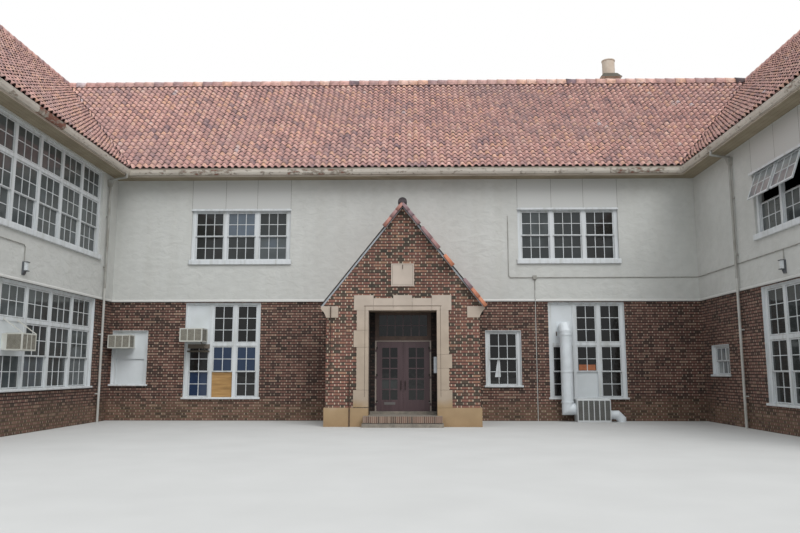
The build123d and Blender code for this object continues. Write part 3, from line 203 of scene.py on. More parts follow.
tone = add("Mix", {0: grime, 6: tone, 7: linear("a39f92")})
mottle = add("MapRange", (sweep, 0.3, 0.7, 0.95, 1.04))
tone = add("Mix", {0: 1.0, 6: tone, 7: mottle}, blend_type="MULTIPLY")
level = add("SeparateXYZ", (position,), out=2)
drip = add("LESS_THAN", (level, 4.012))
tone = add("Mix", {0: drip, 6: tone, 7: linear("c4c4c0")})
rougher = add("MapRange", (patch, 0.35, 0.65, 0.5, 1.3))
relief = add("MULTIPLY", (sweep, rougher))
relief = add("MULTIPLY_ADD", (grit, 0.12, relief))
finish(stucco, tone, 0.88, relief, 0.022, IOR=1.5)
dress(stucco, "front_wall_upper", "left_wing_wall_upper", "right_wing_wall_upper",
      "wing_end_walls_upper", "outer_walls_upper", "back_wall_upper")

# Floors and ceilings inside: old pine boards on joists, seen only through doors and windows.
# They run along the building, 90 mm wide, worn brown under a dull wax.
boards, add, position = new_material("worn_pine_floor_boards")
across = add("SeparateXYZ", (position,), out=1)
board = add("MULTIPLY", (across, 11.1))
number = add("FLOOR", (board,))
plank = add("CombineXYZ", (number,))
chance = add("TexWhiteNoise", {"Vector": plank}, noise_dimensions="3D")
tone = add("ValToRGB", (chance,), stops=[(0.0, "57473a"), (1.0, "75614d")])
grain = add("TexNoise", {"Vector": position, "Scale": 8.0, "Detail": 4.0})
finish(boards, tone, 0.6, grain, 0.002, IOR=1.5)
dress(boards, "ground_floor", "upper_floor", "attic_floor", "porch_ceiling")

# Roof covering: barrel tiles of fired terracotta over an open bed, each lapping the one below it.
# Kiln fire mottles them salmon, orange, plum and blue-grey, and dark gaps show under their ends.
# The darkest stop, reached by tone -1, is for the cut rims of the tiles: painted shade under their ends.
tile_clay, add, position = new_material("mottled_terracotta_barrel_tile")
tile_tone = add("Attribute", out="Fac", attribute_name="tone")
drift = add("TexNoise", {"Vector": position, "Scale": 1.3, "Detail": 2.0})
drift = add("MULTIPLY_ADD", (drift, 0.5, -0.25))
tile_tone = add("ADD", (tile_tone, drift))
tone = add("ValToRGB", (tile_tone,), stops=[
    (0.0, "4a3d3f"), (0.12, "927a80"), (0.26, "b0918e"), (0.42, "c79d95"), (0.56, "d3a69c"), (0.7, "dcb3a8"),
    (0.84, "dbad94"), (0.94, "e2bfb1"), (1.0, "c7b8bb")])
flame = add("TexNoise", {"Vector": position, "Scale": 9.0, "Detail": 4.0})
blush = add("MapRange", (flame, 0.35, 0.7, 0.72, 1.12))
tone = add("Mix", {0: 1.0, 6: tone, 7: blush}, blend_type="MULTIPLY")
weather = add("TexNoise", {"Vector": position, "Scale": 0.5, "Detail": 3.0})
lichen = add("MapRange", (weather, 0.45, 0.75, 0.0, 0.35))
tone = add("Mix", {0: lichen, 6: tone, 7: linear("98898a")})
finish(tile_clay, tone, 0.8, flame, 0.004, IOR=1.5)


def mottled(name, scale, detail, stops, roughness, depth, stretch=(1.0, 1.0, 1.0), **sockets):
    """A material whose tone and relief both follow one noise, stretched along an axis or not."""
    material, add, position = new_material(name)
    if stretch != (1.0, 1.0, 1.0):
        position = add("Mapping", {"Vector": position, "Scale": stretch})
    noise = add("TexNoise", {"Vector": position, "Scale": scale, "Detail": detail})
    return finish(material, add("ValToRGB", (noise,), stops=stops), roughness, noise, depth, **sockets)


underlay = mottled("tarred_roofing_felt", 14.0, 3.0, [(0.3, "2c2725"), (0.7, "3d3532")], 0.9, 0.003, IOR=1.5)
dress(underlay, "roof_front", "roof_back", "roof_wing_inner", "roof_wing_outer", "roof_wing_ends",
      "porch_roof")

pitch = math.radians(46.5)
overhang = 0.54                 # plan distance from a wall's face to the fascia
to_ridge = 3.96                 # plan distance from a wall's face to the ridge
slope_width = 4.5               # plan width of every slope, from the fascia to the ridge
eaves_level = 8.428
tile_pitch = 0.226              # from barrel to barrel
tile_gauge = 0.256              # exposed length of a course
valley_gap = 0.035              # from the tiles of a slope to the middle of a valley
gable_half, gable_rise = 2.45, 3.1      # of the porch roof


def wall_matrix(origin, along):
    """Local axes of an outside face: x along it, y inward, z up."""
    ahead = Vector((*along, 0))
    inward = Vector((0, 0, 1)).cross(ahead)
    axes = Matrix((ahead, inward, (0, 0, 1))).transposed().to_4x4()
    return Matrix.Translation((*origin, 0)) @ axes


faces = {
    "front": wall_matrix((0, 0), (1, 0)), "back": wall_matrix((0, 7.92), (-1, 0)),
    "left_inner": wall_matrix((-9.9, 0), (0, 1)), "right_inner": wall_matrix((9.9, 0), (0, -1)),
    "left_outer": wall_matrix((-17.82, 0), (0, -1)), "right_outer": wall_matrix((17.82, 0), (0, 1)),
    "left_end": wall_matrix((-13.86, -10.3), (1, 0)), "right_end": wall_matrix((13.86, -10.3), (1, 0)),
}


def toned_mesh():
    """An empty mesh whose faces carry a tone."""
    mesh = bmesh.new()
    mesh.faces.layers.float.new("tone")
    return mesh


def cut_at(mesh, point, inside):
    """Cuts a mesh at a plane and keeps the side that the direction points to."""
    bmesh.ops.bisect_plane(mesh, geom=mesh.verts[:] + mesh.edges[:] + mesh.faces[:], plane_co=point,
                           plane_no=inside, clear_inner=True)


def built(name, mesh, *materials):
    """Makes an object of a mesh."""
    data = bpy.data.meshes.new(name)
    mesh.to_mesh(data)
    mesh.free()
    for material in materials:
        data.materials.append(material)
    made = bpy.data.objects.new(name, data)
    bpy.context.scene.collection.objects.link(made)
    return made


def put(name, mesh, body, *materials):
    """Makes a mesh a named piece that rides with a body."""
    piece = built(name, mesh, *materials)
    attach(piece, body)
    return piece


# Height over the bed across one tile: seven faces of barrel, then three of pan
section = [(-0.5 + 0.68 * i / 7, 0.01 + 0.075 * math.sin(math.pi * i / 7) ** 0.65) for i in range(8)]
section += [(0.18 + 0.32 * i / 3, 0.01 - 0.014 * math.sin(math.pi * i / 3)) for i in range(1, 4)]
lottery = random.Random(7)


def barrel_tile(mesh, at, axes, width, length, rise=1.0):
    """A barrel and its pan, its foot lifted over the tile below; axes are across, up and out."""
    across, upward, outward = axes
    tone = mesh.faces.layers.float.get("tone")
    lift = (0.034 + lottery.uniform(-0.006, 0.012)) * rise
    at = at + across * lottery.uniform(-0.004, 0.004)
    slip = lottery.uniform(-0.01, 0.01)
    shade = 0.18 + 0.78 * lottery.betavariate(2.6, 2.2)
    rings = []
    for reach, raised in ((slip, lift), (slip, lift - 0.016 * rise), (length + 0.02, 0.0)):
        rings.append([mesh.verts.new(at + across * s * width + upward * reach + outward * (h * rise + raised))
                      for s, h in section])
    crown, rim, back = rings
    for i in range(len(section) - 1):
        for a, b in ((crown, back), (rim, crown)):
            quad = mesh.faces.new((a[i], a[i + 1], b[i + 1], b[i]))
            # The cut rim is painted dark as painted shade under the tile's end, and the pans are painted
            # darker than the barrels as painted shade between them
            quad[tone] = -1.0 if a is rim else shade if i < 7 else shade * 0.65
            quad.smooth = a is crown


def tiled_slope(name, face, start, end, start_turn, end_turn):
    """Barrel tiles over one slope, cut along its hips (turn 1) and valleys (turn -1)."""
    mesh = toned_mesh()
    run = math.cos(pitch)
    length = slope_width / run
    low = start - (overhang if start_turn > 0 else to_ridge)
    high = end + (overhang if end_turn > 0 else to_ridge)
    count = round((high - low) / tile_pitch)
    step = (high - low) / count
    axes = Vector((1, 0, 0)), Vector((0, run, math.sin(pitch))), Vector((0, -math.sin(pitch), run))
    foot = Vector((0, -overhang, eaves_level)) - axes[1] * 0.045
    # Columns run a little past the hips and valleys, which then cut them
    for column in range(count):
        x = low + (column + 0.5) * step
        limits = [(start_turn, x - start + step), (end_turn, end - x + step)]
        last = min([length] + [(room + overhang) / run for turn, room in limits if turn > 0])
        first = max([0.0] + [(overhang + 2 * step - room) / run for turn, room in limits if turn < 0])
        for course in range(math.ceil(length / tile_gauge)):
            v = course * tile_gauge
            if first - 2 * tile_gauge <= v <= last:
                barrel_tile(mesh, foot + axes[0] * x + axes[1] * max(v, 0.012), axes, step, tile_gauge)
    cuts = ((start, Vector((1, -start_turn, 0)), start_turn), (end, Vector((-1, -end_turn, 0)), end_turn))
    for corner, inside, turn in cuts:
        inside.normalize()
        cut_at(mesh, Vector((corner, 0, 0)) + inside * (valley_gap if turn < 0 else 0.0), inside)
    cut_at(mesh, (0, to_ridge - 0.01, 0), (0, -1, 0))
    bmesh.ops.transform(mesh, matrix=faces[face], verts=mesh.verts[:])
    return put(name, mesh, "building", tile_clay)


for face, *limits in (
    ("front", -9.9, 9.9, -1, -1), ("back", -17.82, 17.82, 1, 1),
    ("left_inner", -10.3, 0.0, 1, -1), ("right_inner", 0.0, 10.3, -1, 1),
    ("left_outer", -7.92, 10.3, 1, 1), ("right_outer", -10.3, 7.92, 1, 1),
    ("left_end", -3.96, 3.96, 1, 1), ("right_end", -3.96, 3.96, 1, 1),
):
    tiled_slope("tiles_" + face, face, *limits)

porch_tiles = toned_mesh()
for side in (-1, 1):
    upward = Vector((-side * gable_half, 0, gable_rise)).normalized()
    axes = Vector((0, side, 0)), upward, Vector((0, side, 0)).cross(upward)
    for column in range(10):
        for course in range(14):
            at = Vector((side * gable_half, -2.18 + tile_pitch * column, 3.54))
            at += upward * (0.02 + course * 0.279)
            barrel_tile(porch_tiles, at, axes, tile_pitch, 0.279, 0.5)
cut_at(porch_tiles, (0, -0.03, 0), (0, -1, 0))
put("porch_roof_tiles", porch_tiles, "building", tile_clay)

# Ridge, hip and rake tiles: the same clay in half-round cover tiles, bedded in mortar and lapped uphill.
# They close the joint between two slopes with a thin line that bumps at each lap.


def cover_tiles(mesh, start, end, gauge, width, rise, skirt, shade=None):
    """Half-round tiles from a low end to a high one, all of one shade or each of its own."""
    tone = mesh.faces.layers.float.get("tone")
    forward = (end - start).normalized()
    side = forward.cross(Vector((0, 0, 1))).normalized()
    up = side.cross(forward)
    arch = [(-width, -skirt)]
    arch += [(-width * math.cos(math.pi * i / 8), rise * math.sin(math.pi * i / 8)) for i in range(9)]
    arch += [(width, -skirt)]
    for number in range(round((end - start).length / gauge)):
        own = lottery.betavariate(2.2, 1.9) if shade is None else shade
        at = start + forward * number * gauge
        swell = lottery.uniform(0.98, 1.04)
        rings = []
        for reach, grow in ((0.0, 1.0), (0.0, 1.14), (gauge * 1.05, 0.98)):
            grow *= swell
            rings.append([mesh.verts.new(at + forward * reach + side * (s * grow) + up * (h * grow))
                          for s, h in arch])
        inner, outer, back = rings
        for i in range(len(arch) - 1):
            for a, b in ((outer, back), (inner, outer)):
                quad = mesh.faces.new((a[i], a[i + 1], b[i + 1], b[i]))
                quad[tone] = own
                quad.smooth = a is outer
        # The lids close each tile's hollow ends and are painted darker, as painted shade inside it.
        for end_ring in (inner, back):
            lid = mesh.faces.new(end_ring)
            lid[tone] = own * 0.6


ridge_level = eaves_level + slope_width * math.tan(pitch)
covers = toned_mesh()
bed = Vector((0, 0, 0.05))
for side in (-1, 1):
    middle = Vector((side * 13.86, to_ridge, ridge_level)) + bed
    near = Vector((side * 13.86, -6.34, ridge_level)) + bed
    cover_tiles(covers, near, middle, 0.4, 0.15, 0.14, 0.09)
    drop = Vector((0, 0, -slope_width * math.tan(pitch)))
    for top, x, y in ((near, -1, -1), (near, 1, -1), (middle, side, 1)):
        low_end = top + Vector((x * slope_width, y * slope_width, 0)) + drop
        cover_tiles(covers, low_end + (top - low_end) * 0.004, top, 0.4, 0.14, 0.14, 0.06)
left_end, right_end = (Vector((x, to_ridge, ridge_level)) + bed for x in (-13.86, 13.86))
cover_tiles(covers, left_end, right_end, 0.4, 0.15, 0.14, 0.09)
ridge_covers = put("ridge_and_hip_tiles", covers, "building", tile_clay)
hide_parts("ridge_caps")

# The porch gable has such tiles along its rakes, most of them gone, over grey sheet flashing.
# A few hang on, plum near the point and orange lower down, with one round stop tile on the point.
rake_clay, add, position = new_material("plum_and_orange_terracotta")
rake_tone = add("Attribute", out="Fac", attribute_name="tone")
flame = add("TexNoise", {"Vector": position, "Scale": 12.0, "Detail": 4.0})
flare = add("MULTIPLY_ADD", (flame, 0.2, -0.1))
rake_tone = add("ADD", (rake_tone, flare))
tone = add("ValToRGB", (rake_tone,), stops=[
    (0.0, "3a3335"), (0.2, "7c6a70"), (0.45, "957371"), (0.65, "aa7668"), (0.9, "b87558"), (1.0, "c08263")])
finish(rake_clay, tone, 0.75, flame, 0.003, IOR=1.5)
rakes = toned_mesh()
for side, tiles in (
    (-1, ((0.0, 0.26, 0.6), (0.26, 0.54, 0.45), (0.54, 0.88, 0.62))),
    (1, ((0.0, 0.27, 0.3), (0.27, 0.49, 0.25), (0.49, 0.79, 0.42), (0.94, 1.38, 0.38), (1.38, 1.75, 0.48),
         (2.03, 2.42, 0.92), (2.95, 3.30, 0.3), (3.30, 3.64, 0.85), (3.64, 3.97, 0.95))),
):
    point = Vector((side * 0.012, -2.80, 6.645))
    fall = Vector((side * gable_half, 0, -gable_rise)).normalized()
    for near, far, shade in tiles:
        cover_tiles(rakes, point + fall * far, point + fall * near, far - near, 0.075, 0.058, 0.045, shade)
stop = Vector((0, -2.86, 6.71))
cover_tiles(rakes, stop, stop + Vector((0, 0.36, 0)), 0.36, 0.12, 0.11, 0.05, 0.0)
rake_tiles = put("porch_rake_tiles", rakes, "building", rake_clay)


def block(mesh, place, low, high, tone=None, slot=0):
    """A box between two corners of a place's own axes."""
    centre = [(a + b) / 2 for a, b in zip(low, high)]
    size = [abs(b - a) for a, b in zip(low, high)]
    matrix = place @ Matrix.Translation(centre) @ Matrix.Diagonal((*size, 1.0))
    made = bmesh.ops.create_cube(mesh, size=1.0, matrix=matrix)["verts"]
    layer = mesh.faces.layers.float.get("tone")
    for side in {side for corner in made for side in corner.link_faces}:
        side.material_index = slot
        if layer and tone is not None:
            side[layer] = tone
    return made


flashing = mottled("weathered_galvanised_sheet", 7.0, 4.0, [(0.3, "63656a"), (0.7, "8c8f93")], 0.55, 0.001,
                   Metallic=0.6)
dress(flashing, "rake_flashing")
strips = bmesh.new()
for side in (-1, 1):
    along = Vector((side * gable_half, 0, -gable_rise)).normalized()
    inward = Vector((-side * gable_rise, 0, -gable_half)).normalized()
    axes = Matrix((along, (0, 1, 0), inward)).transposed().to_4x4()
    rake = Matrix.Translation((0, -2.64, 6.64)) @ axes
    block(strips, rake, (0.03, -0.012, 0.002), (3.94, 0.0, 0.047))
    block(strips, rake, (0.01, -0.043, -0.031), (3.95, -0.04, 0.0), slot=1)
bmesh.ops.recalc_face_normals(strips, faces=strips.faces[:])
edge_paint = mottled("dull_lead_sheet", 9.0, 3.0, [(0.3, "a3a8ad"), (0.7, "b5babf")], 0.6, 0.001,
                     Metallic=0.3)
put("rake_edge_strips", strips, "building", edge_paint, underlay)

# Windows: pine frames, sills and double-hung sashes with narrow glazing bars, all in old white gloss paint.
# Weather has chalked the paint, streaked it with grime and opened it along sills and joints.
white_paint, add, position = new_material("chalked_white_gloss_on_pine")
axis = add("SeparateXYZ", (position,)).node
level = axis.outputs[2]
runs = add("Mapping", {"Vector": position, "Scale": (9.0, 9.0, 0.9)})
streak = add("TexNoise", {"Vector": runs, "Scale": 1.0, "Detail": 5.0})
chips = add("TexNoise", {"Vector": position, "Scale": 24.0, "Detail": 5.0})
tone = add("ValToRGB", (streak,), stops=[(0.3, "bcbfbd"), (0.48, "cbcfd1"), (0.7, "d3d7d9")])
bare = add("MapRange", (chips, 0.68, 0.72, 0.0, 0.6))
tone = add("Mix", {0: bare, 6: tone, 7: linear("8c877d")})
above = add("GREATER_THAN", (level, 7.135))
beside = add("COMPARE", (axis.outputs[0], -9.9, 0.6))
panel = add("GREATER_THAN", (above, beside))
tone = add("Mix", {0: panel, 6: tone, 7: linear("bfc0bd")})
finish(white_paint, tone, 0.5, chips, 0.0015, IOR=1.5)
dress(white_paint, "windows_front", "windows_wings", "windows_outside", "open_sashes")

# Glass in small panes: old drawn sheet, painted dark as painted shade of the unlit rooms behind it, with
# painted reflections of pale glare on some panes and a few curtains. A pane's tone is set where it is made: 0
# for the painted shade of a dark room, 0.5 for a painted reflection, 0.75 for a blue shade, 1 for lace.
pane_glass, add, position = new_material("drawn_sheet_glass_over_dark_rooms")
pane_tone = add("Attribute", out="Fac", attribute_name="tone")
wave = add("TexNoise", {"Vector": position, "Scale": 2.6, "Detail": 3.0})
shift = add("MULTIPLY_ADD", (wave, 0.14, -0.07))
pane_tone = add("ADD", (pane_tone, shift))
tone = add("ValToRGB", (pane_tone,), stops=[
    (0.0, "0b0b0b"), (0.2, "1a1917"), (0.4, "343838"), (0.5, "4f5556"), (0.6, "5d6874"), (0.68, "5d6874"),
    (0.75, "20304a"), (0.84, "26374f"), (0.92, "84898a"), (1.0, "a4a8a7")])
ripple = add("TexNoise", {"Vector": position, "Scale": 5.0, "Detail": 1.0})
finish(pane_glass, tone, 0.06, ripple, 0.0015, IOR=1.52)
dress(pane_glass, "window_glass")

storey_line = 3.93             # top of the brick; the upper storey's sills lie above it
soffit_level = 8.14
Bank = namedtuple("Bank", "face proud left width sill head columns transom_rows sash_rows panes_across outer")


def sill_rise(bank):
    """The sills of the upper storey are stout boards, those of the lower one thin."""
    return 0.165 if bank.sill > storey_line else 0.06


def lights_of(bank):
    """The places of a bank: column, row (0 transom, 1 upper, 2 lower sash), middle, size, panes up, depth."""
    width = (bank.width - 0.24 - (bank.columns - 1) * 0.11) / bank.columns
    foot, top = bank.sill + sill_rise(bank), bank.head - 0.07
    rows = bank.sash_rows
    bar = 0.095 if bank.transom_rows else 0.0
    transom = (top - foot - bar) * bank.transom_rows / (2 * rows + bank.transom_rows)
    sash_top = top - transom - bar
    sash = (sash_top - foot) / 2 + 0.022
    for number in range(bank.columns):
        x = bank.left + 0.12 + width / 2 + number * (width + 0.11)
        if bank.transom_rows:
            yield number, 0, x, top - transom / 2, width, transom, bank.transom_rows, 0.11 - bank.proud
        yield number, 1, x, sash_top - sash / 2, width, sash, rows, 0.11 - bank.proud
        yield number, 2, x, foot + sash / 2, width, sash, rows, 0.15 - bank.proud


def glaze(bars, panes, place, x, z, width, height, depth, wide, high, tone):
    """Glazing bars and panes inside the stiles of one sash."""
    half_width, half_height = width / 2 - 0.045, height / 2 - 0.045
    for i in range(1, wide):
        at = x - half_width + 2 * half_width * i / wide
        block(bars, place, (at - 0.011, depth - 0.016, z - half_height),
              (at + 0.011, depth + 0.012, z + half_height))
    for i in range(1, high):
        at = z - half_height + 2 * half_height * i / high
        block(bars, place, (x - half_width, depth - 0.014, at - 0.010),
              (x + half_width, depth + 0.010, at + 0.010))
    for i in range(wide):
        for j in range(high):
            left = x - half_width + 2 * half_width * i / wide
            foot = z - half_height + 2 * half_height * j / high
            block(panes, place, (left, depth - 0.002, foot),
                  (left + 2 * half_width / wide, depth + 0.002, foot + 2 * half_height / high),
                  tone + lottery.uniform(-0.03, 0.03))


def bank_at(face, storey, left, outer=False):
    """The standard bank of three of a storey."""
    if storey == "upper":
        return Bank(face, 0.025, left, 3.4, 5.2, 7.1, 3, 0, 2, 3, outer)
    return Bank(face, 0.0, left, 2.53, 0.7, 3.895, 3, 3, 2, 2, outer)


banks = {
    "front_small_left": Bank("front", 0.0, -9.8, 1.2, 1.13, 2.97, 1, 0, 2, 3, False),
    "front_lower_left": bank_at("front", "lower", -7.35),
    "front_small_right": Bank("front", 0.0, 2.71, 1.19, 1.09, 2.96, 1, 0, 2, 3, False),
    "front_lower_right": bank_at("front", "lower", 4.82),
    "front_upper_left": bank_at("front", "upper", -7.27),
    "front_upper_right": bank_at("front", "upper", 3.87),
    "left_lower": Bank("left_inner", 0.0, -9.2, 7.91, 1.1, 3.915, 6, 2, 2, 3, False),
    "left_upper": Bank("left_inner", 0.025, -8.98, 7.77, 5.2, 8.1, 6, 2, 2, 3, False),
    "right_small": Bank("right_inner", 0.0, 0.69, 1.29, 1.45, 2.43, 1, 0, 1, 3, False),
    "right_lower": Bank("right_inner", 0.0, 4.28, 5.155, 0.7, 3.895, 5, 3, 2, 2, False),
    "right_upper": Bank("right_inner", 0.025, 4.25, 5.23, 5.21, 7.13, 4, 0, 2, 3, False),
}
for face, length, start, bays in (
    ("left_end", 7.92, -3.96, 1), ("right_end", 7.92, -3.96, 1), ("back", 35.64, -17.82, 5),
    ("left_outer", 18.22, -7.92, 3), ("right_outer", 18.22, -10.3, 3),
):
    for number in range(bays):
        middle = start + length / bays * (number + 0.5)
        banks[f"{face}_lower_{number}"] = bank_at(face, "lower", middle - 1.265, True)
        banks[f"{face}_upper_{number}"] = bank_at(face, "upper", middle - 1.7, True)

# Tones of the panes by bank and place, where the plain painted shade of an unlit room doesn't hold;
# greys from 0.3 to 0.6 are painted reflections, 0.8 a blue shade and 0.93 lace.
unlit_room = 0.1
bank_tones = {
    "front_upper_left": {0: 0.28, 1: 0.58, 2: 0.36}, "front_upper_right": {0: 0.44, 1: 0.36, 2: 0.26},
    "left_lower": {n: 0.45 for n in range(6)}, "left_upper": {n: 0.47 for n in range(6)},
    "right_lower": {n: 0.36 for n in range(5)}, "right_upper": {n: 0.42 for n in range(4)},
    "right_small": {0: 0.93},
}
place_tones = {
    ("front_upper_left", 1, 2): 0.33, ("front_upper_left", 2, 2): 0.49, ("front_lower_left", 1, 1): 0.79,
    ("front_lower_left", 2, 1): 0.8, ("front_lower_left", 0, 2): 0.79, ("front_upper_right", 0, 2): 0.4,
    ("left_lower", 3, 2): 0.52, ("left_lower", 1, 2): 0.5, ("left_lower", 0, 2): 0.5,
}
not_glazed = {
    ("front_small_left", 0, 1), ("front_small_left", 0, 2), ("front_lower_left", 0, 0),
    ("front_lower_left", 1, 2), ("front_lower_right", 0, 0), ("front_lower_right", 1, 2),
    ("left_lower", 2, 1), ("right_upper", 0, 1), ("right_upper", 1, 1),
}
court_bars, court_panes, outer_bars, outer_panes = bmesh.new(), toned_mesh(), bmesh.new(), toned_mesh()
for name, bank in banks.items():
    place = faces[bank.face]
    bars, panes = (outer_bars, outer_panes) if bank.outer else (court_bars, court_panes)
    for column, row, x, z, width, height, high, depth in lights_of(bank):
        if (name, column, row) in not_glazed:
            continue
        tone = place_tones.get((name, column, row), bank_tones.get(name, {}).get(column, unlit_room))
        if bank.outer:
            for a, b in ((-1, 0.045), (1, -0.045)):
                block(bars, place, (x + a * width / 2, depth - 0.02, z - height / 2),
                      (x + a * width / 2 + b, depth + 0.02, z + height / 2))
                block(bars, place, (x - width / 2, depth - 0.02, z + a * height / 2),
                      (x + width / 2, depth + 0.02, z + a * height / 2 + b))
        glaze(bars, panes, place, x, z, width, height, depth, bank.panes_across, high, tone)
put("courtyard_glazing_bars", court_bars, "building", white_paint)
put("courtyard_panes", court_panes, "building", pane_glass)
put("outer_sashes_and_bars", outer_bars, "building", white_paint)
put("outer_panes", outer_panes, "building", pane_glass)

# Two upper sashes of the right wing hang open from their top edges, swung out 20 degrees.
# Their bars and glass lie in the tilted frames; the room behind shows dark under them.
swung_bars, swung_panes = bmesh.new(), toned_mesh()
for column in (0, 1):
    x = 4.25 + 0.12 + 1.165 / 2 + column * 1.275
    swing = Matrix.Translation((x, 0.045, 7.08)) @ Matrix.Rotation(math.radians(-20), 4, "X")
    glaze(swung_bars, swung_panes, faces["right_inner"] @ swing, 0.0, -0.401, 1.165, 0.802, -0.0265,
          3, 2, 0.93)
put("open_sash_bars", swung_bars, "building", white_paint)
put("open_sash_panes", swung_panes, "building", pane_glass)

# Trim of the windows: white boards line the brick reveals and a bead runs over each upper head.
# Plain boards close the wall above them, with dark joints whose grooves have their shade painted in.
# Dark strips round each sash are painted shadow in the gaps between the sash and its stops.
joint_and_gap_shade = mottled("dark_joints_and_painted_shadow_gaps", 11.0, 3.0, [(0.3, "5d5b56"), (0.7, "77756e")], 0.85, 0.001, IOR=1.5)
linings, joints_and_gaps = bmesh.new(), bmesh.new()
for name, bank in banks.items():
    place, proud, left, sill, head = faces[bank.face], bank.proud, bank.left, bank.sill, bank.head
    right = left + bank.width
    nosing = block(linings, place, (left - 0.05, -proud - 0.068, sill - 0.004),
                   (right + 0.05, -proud, sill + sill_rise(bank)))
    edges = list(dict.fromkeys(edge for corner in nosing for edge in corner.link_edges))
    bmesh.ops.bevel(linings, geom=edges, offset=0.018, segments=3, affect="EDGES", profile=0.5)
    for column, row, x, z, w, h, _, depth in lights_of(bank):
        if (name, column, row) in not_glazed:
            continue
        y = depth - 0.0215
        # White stop beads line each sash, with dark strips at their inner edges as painted shadow in the
        # gaps.
        for a in (-1, 1):
            edge = x + a * (w / 2 - 0.012)
            block(linings, place, (edge, y - 0.012, z - h / 2), (x + a * w / 2, y, z + h / 2))
            block(joints_and_gaps, place, (edge - 0.003, y - 0.0015, z - h / 2), (edge + 0.003, y, z + h / 2))
            edge = z + a * (h / 2 - 0.012)
            block(joints_and_gaps, place, (x - w / 2, y - 0.0015, edge - 0.003), (x + w / 2, y, edge + 0.003))
    if sill < storey_line:
        for x0, x1, foot in ((left, left + 0.014, sill + 0.06), (right - 0.014, right, sill + 0.06),
                             (left, right, head - 0.014)):
            block(linings, place, (x0, -0.004, foot), (x1, 0.07, head))
    elif head < 8.0:
        if name != "right_upper":
            block(linings, place, (left - 0.02, -proud - 0.02, head - 0.035),
                  (right + 0.02, -proud, head + 0.02))
        step = (bank.width - 0.13) / bank.columns
        for x in [left, right] + [left + 0.065 + step * (i + 1) for i in range(bank.columns - 1)]:
            block(joints_and_gaps, place, (x - 0.005, -proud - 0.0015, head + 0.02),
                  (x + 0.005, -proud + 0.001, soffit_level))
put("reveal_linings_and_head_beads", linings, "building", white_paint)
put("panel_joints_and_painted_shadow_gaps", joints_and_gaps, "building", joint_and_gap_shade)

# Boards in place of some sashes: flat white paint on sheet, and one bare plywood sheet gone orange-brown.
# The shelf board under the left cooler is the same wood gone grey. Cardboard and paper lean in two windows.
board_paint = mottled("flat_white_paint_on_sheet", 1.6, 4.0, [(0.3, "c5cacb"), (0.7, "d2d7da")], 0.6, 0.001,
                      IOR=1.5)
dress(board_paint, "window_boards")
plywood, add, position = new_material("weathered_bare_plywood")
figure = add("Mapping", {"Vector": position, "Scale": (1.2, 1.2, 14.0)})
veneer = add("TexNoise", {"Vector": figure, "Scale": 1.5, "Detail": 5.0, "Distortion": 0.6})
tone = add("ValToRGB", (veneer,), stops=[(0.3, "8a6a40"), (0.5, "a5804f"), (0.75, "b8935f")])
level = add("SeparateXYZ", (position,), out=2)
shelf = add("GREATER_THAN", (level, 2.3))
tone = add("Mix", {0: shelf, 6: tone, 7: linear("6a6258")})
finish(plywood, tone, 0.8, veneer, 0.001, IOR=1.5)
dress(plywood, "plywood_boards")
card = mottled("brown_cardboard", 6.0, 3.0, [(0.3, "93583a"), (0.7, "a96a48")], 0.85, 0.001, IOR=1.5)
sheet = bmesh.new()
block(sheet, faces["front"], (5.81, 0.106, 1.64), (6.36, 0.1075, 1.83))
put("cardboard_in_window", sheet, "building", card)
paper = bmesh.new()
corners = (3.03, 1.42), (3.22, 1.42), (3.2, 2.0), (3.12, 1.98)
paper.faces.new([paper.verts.new((x, 0.1465, z)) for x, z in corners])
put("paper_in_window", paper, "building", board_paint)

# Entrance doors: pine leaves and frame, the leaves in dull mauve-brown gloss, the frame a flatter brown.
# Pale strips beside the leaves are rubbed bare; ten small panes in each leaf, twelve in the light over them.
door_paint = mottled("mauve_brown_gloss_on_pine", 1.0, 4.0, [(0.3, "412f32"), (0.7, "4e3b3e")], 0.45, 0.001,
                     stretch=(12.0, 12.0, 1.0), IOR=1.5)
dress(door_paint, "door_left", "door_right", "door_hinges")
frame_paint, add, position = new_material("flat_brown_paint_on_pine")
level = add("SeparateXYZ", (position,), out=2)
fade = add("TexNoise", {"Vector": position, "Scale": 9.0, "Detail": 4.0})
tone = add("ValToRGB", (fade,), stops=[(0.3, "38281e"), (0.7, "48352a")])
low = add("LESS_THAN", (level, 2.55))
tone = add("Mix", {0: low, 6: tone, 7: linear("8e837a")})
finish(frame_paint, tone, 0.6, fade, 0.001, IOR=1.5)
dress(frame_paint, "door_frame")

for side, body in ((-1, "door_left"), (1, "door_right")):
    bars, panes = bmesh.new(), toned_mesh()
    middle = side * 0.40875
    left, right = middle - 0.23625, middle + 0.23625
    foot, height = 0.748, 1.583
    rise = height / 5
    for low, high in ((-1.796, -1.7805), (-1.7745, -1.759)):
        block(bars, Matrix(), (middle - 0.018, low, foot), (middle + 0.018, high, foot + height))
        for i in range(1, 5):
            z = foot + rise * i
            block(bars, Matrix(), (left, low + 0.001, z - 0.018), (right, high - 0.001, z + 0.018))
    # The panes are painted near black, as painted shade of the hall behind; one of the left leaf is paler.
    for i in range(5):
        for a, b in ((left, middle), (middle, right)):
            block(panes, Matrix(), (a, -1.7805, foot + rise * i), (b, -1.7745, foot + rise * (i + 1)),
                  0.04 + (0.25 if i == 1 and side < 0 else 0.0) + lottery.uniform(-0.03, 0.03))
    put(body + "_bars", bars, body, door_paint)
    pane_piece = put(body + "_panes", panes, body, pane_glass)
    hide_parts(body + "_glass")
bars, panes = bmesh.new(), toned_mesh()
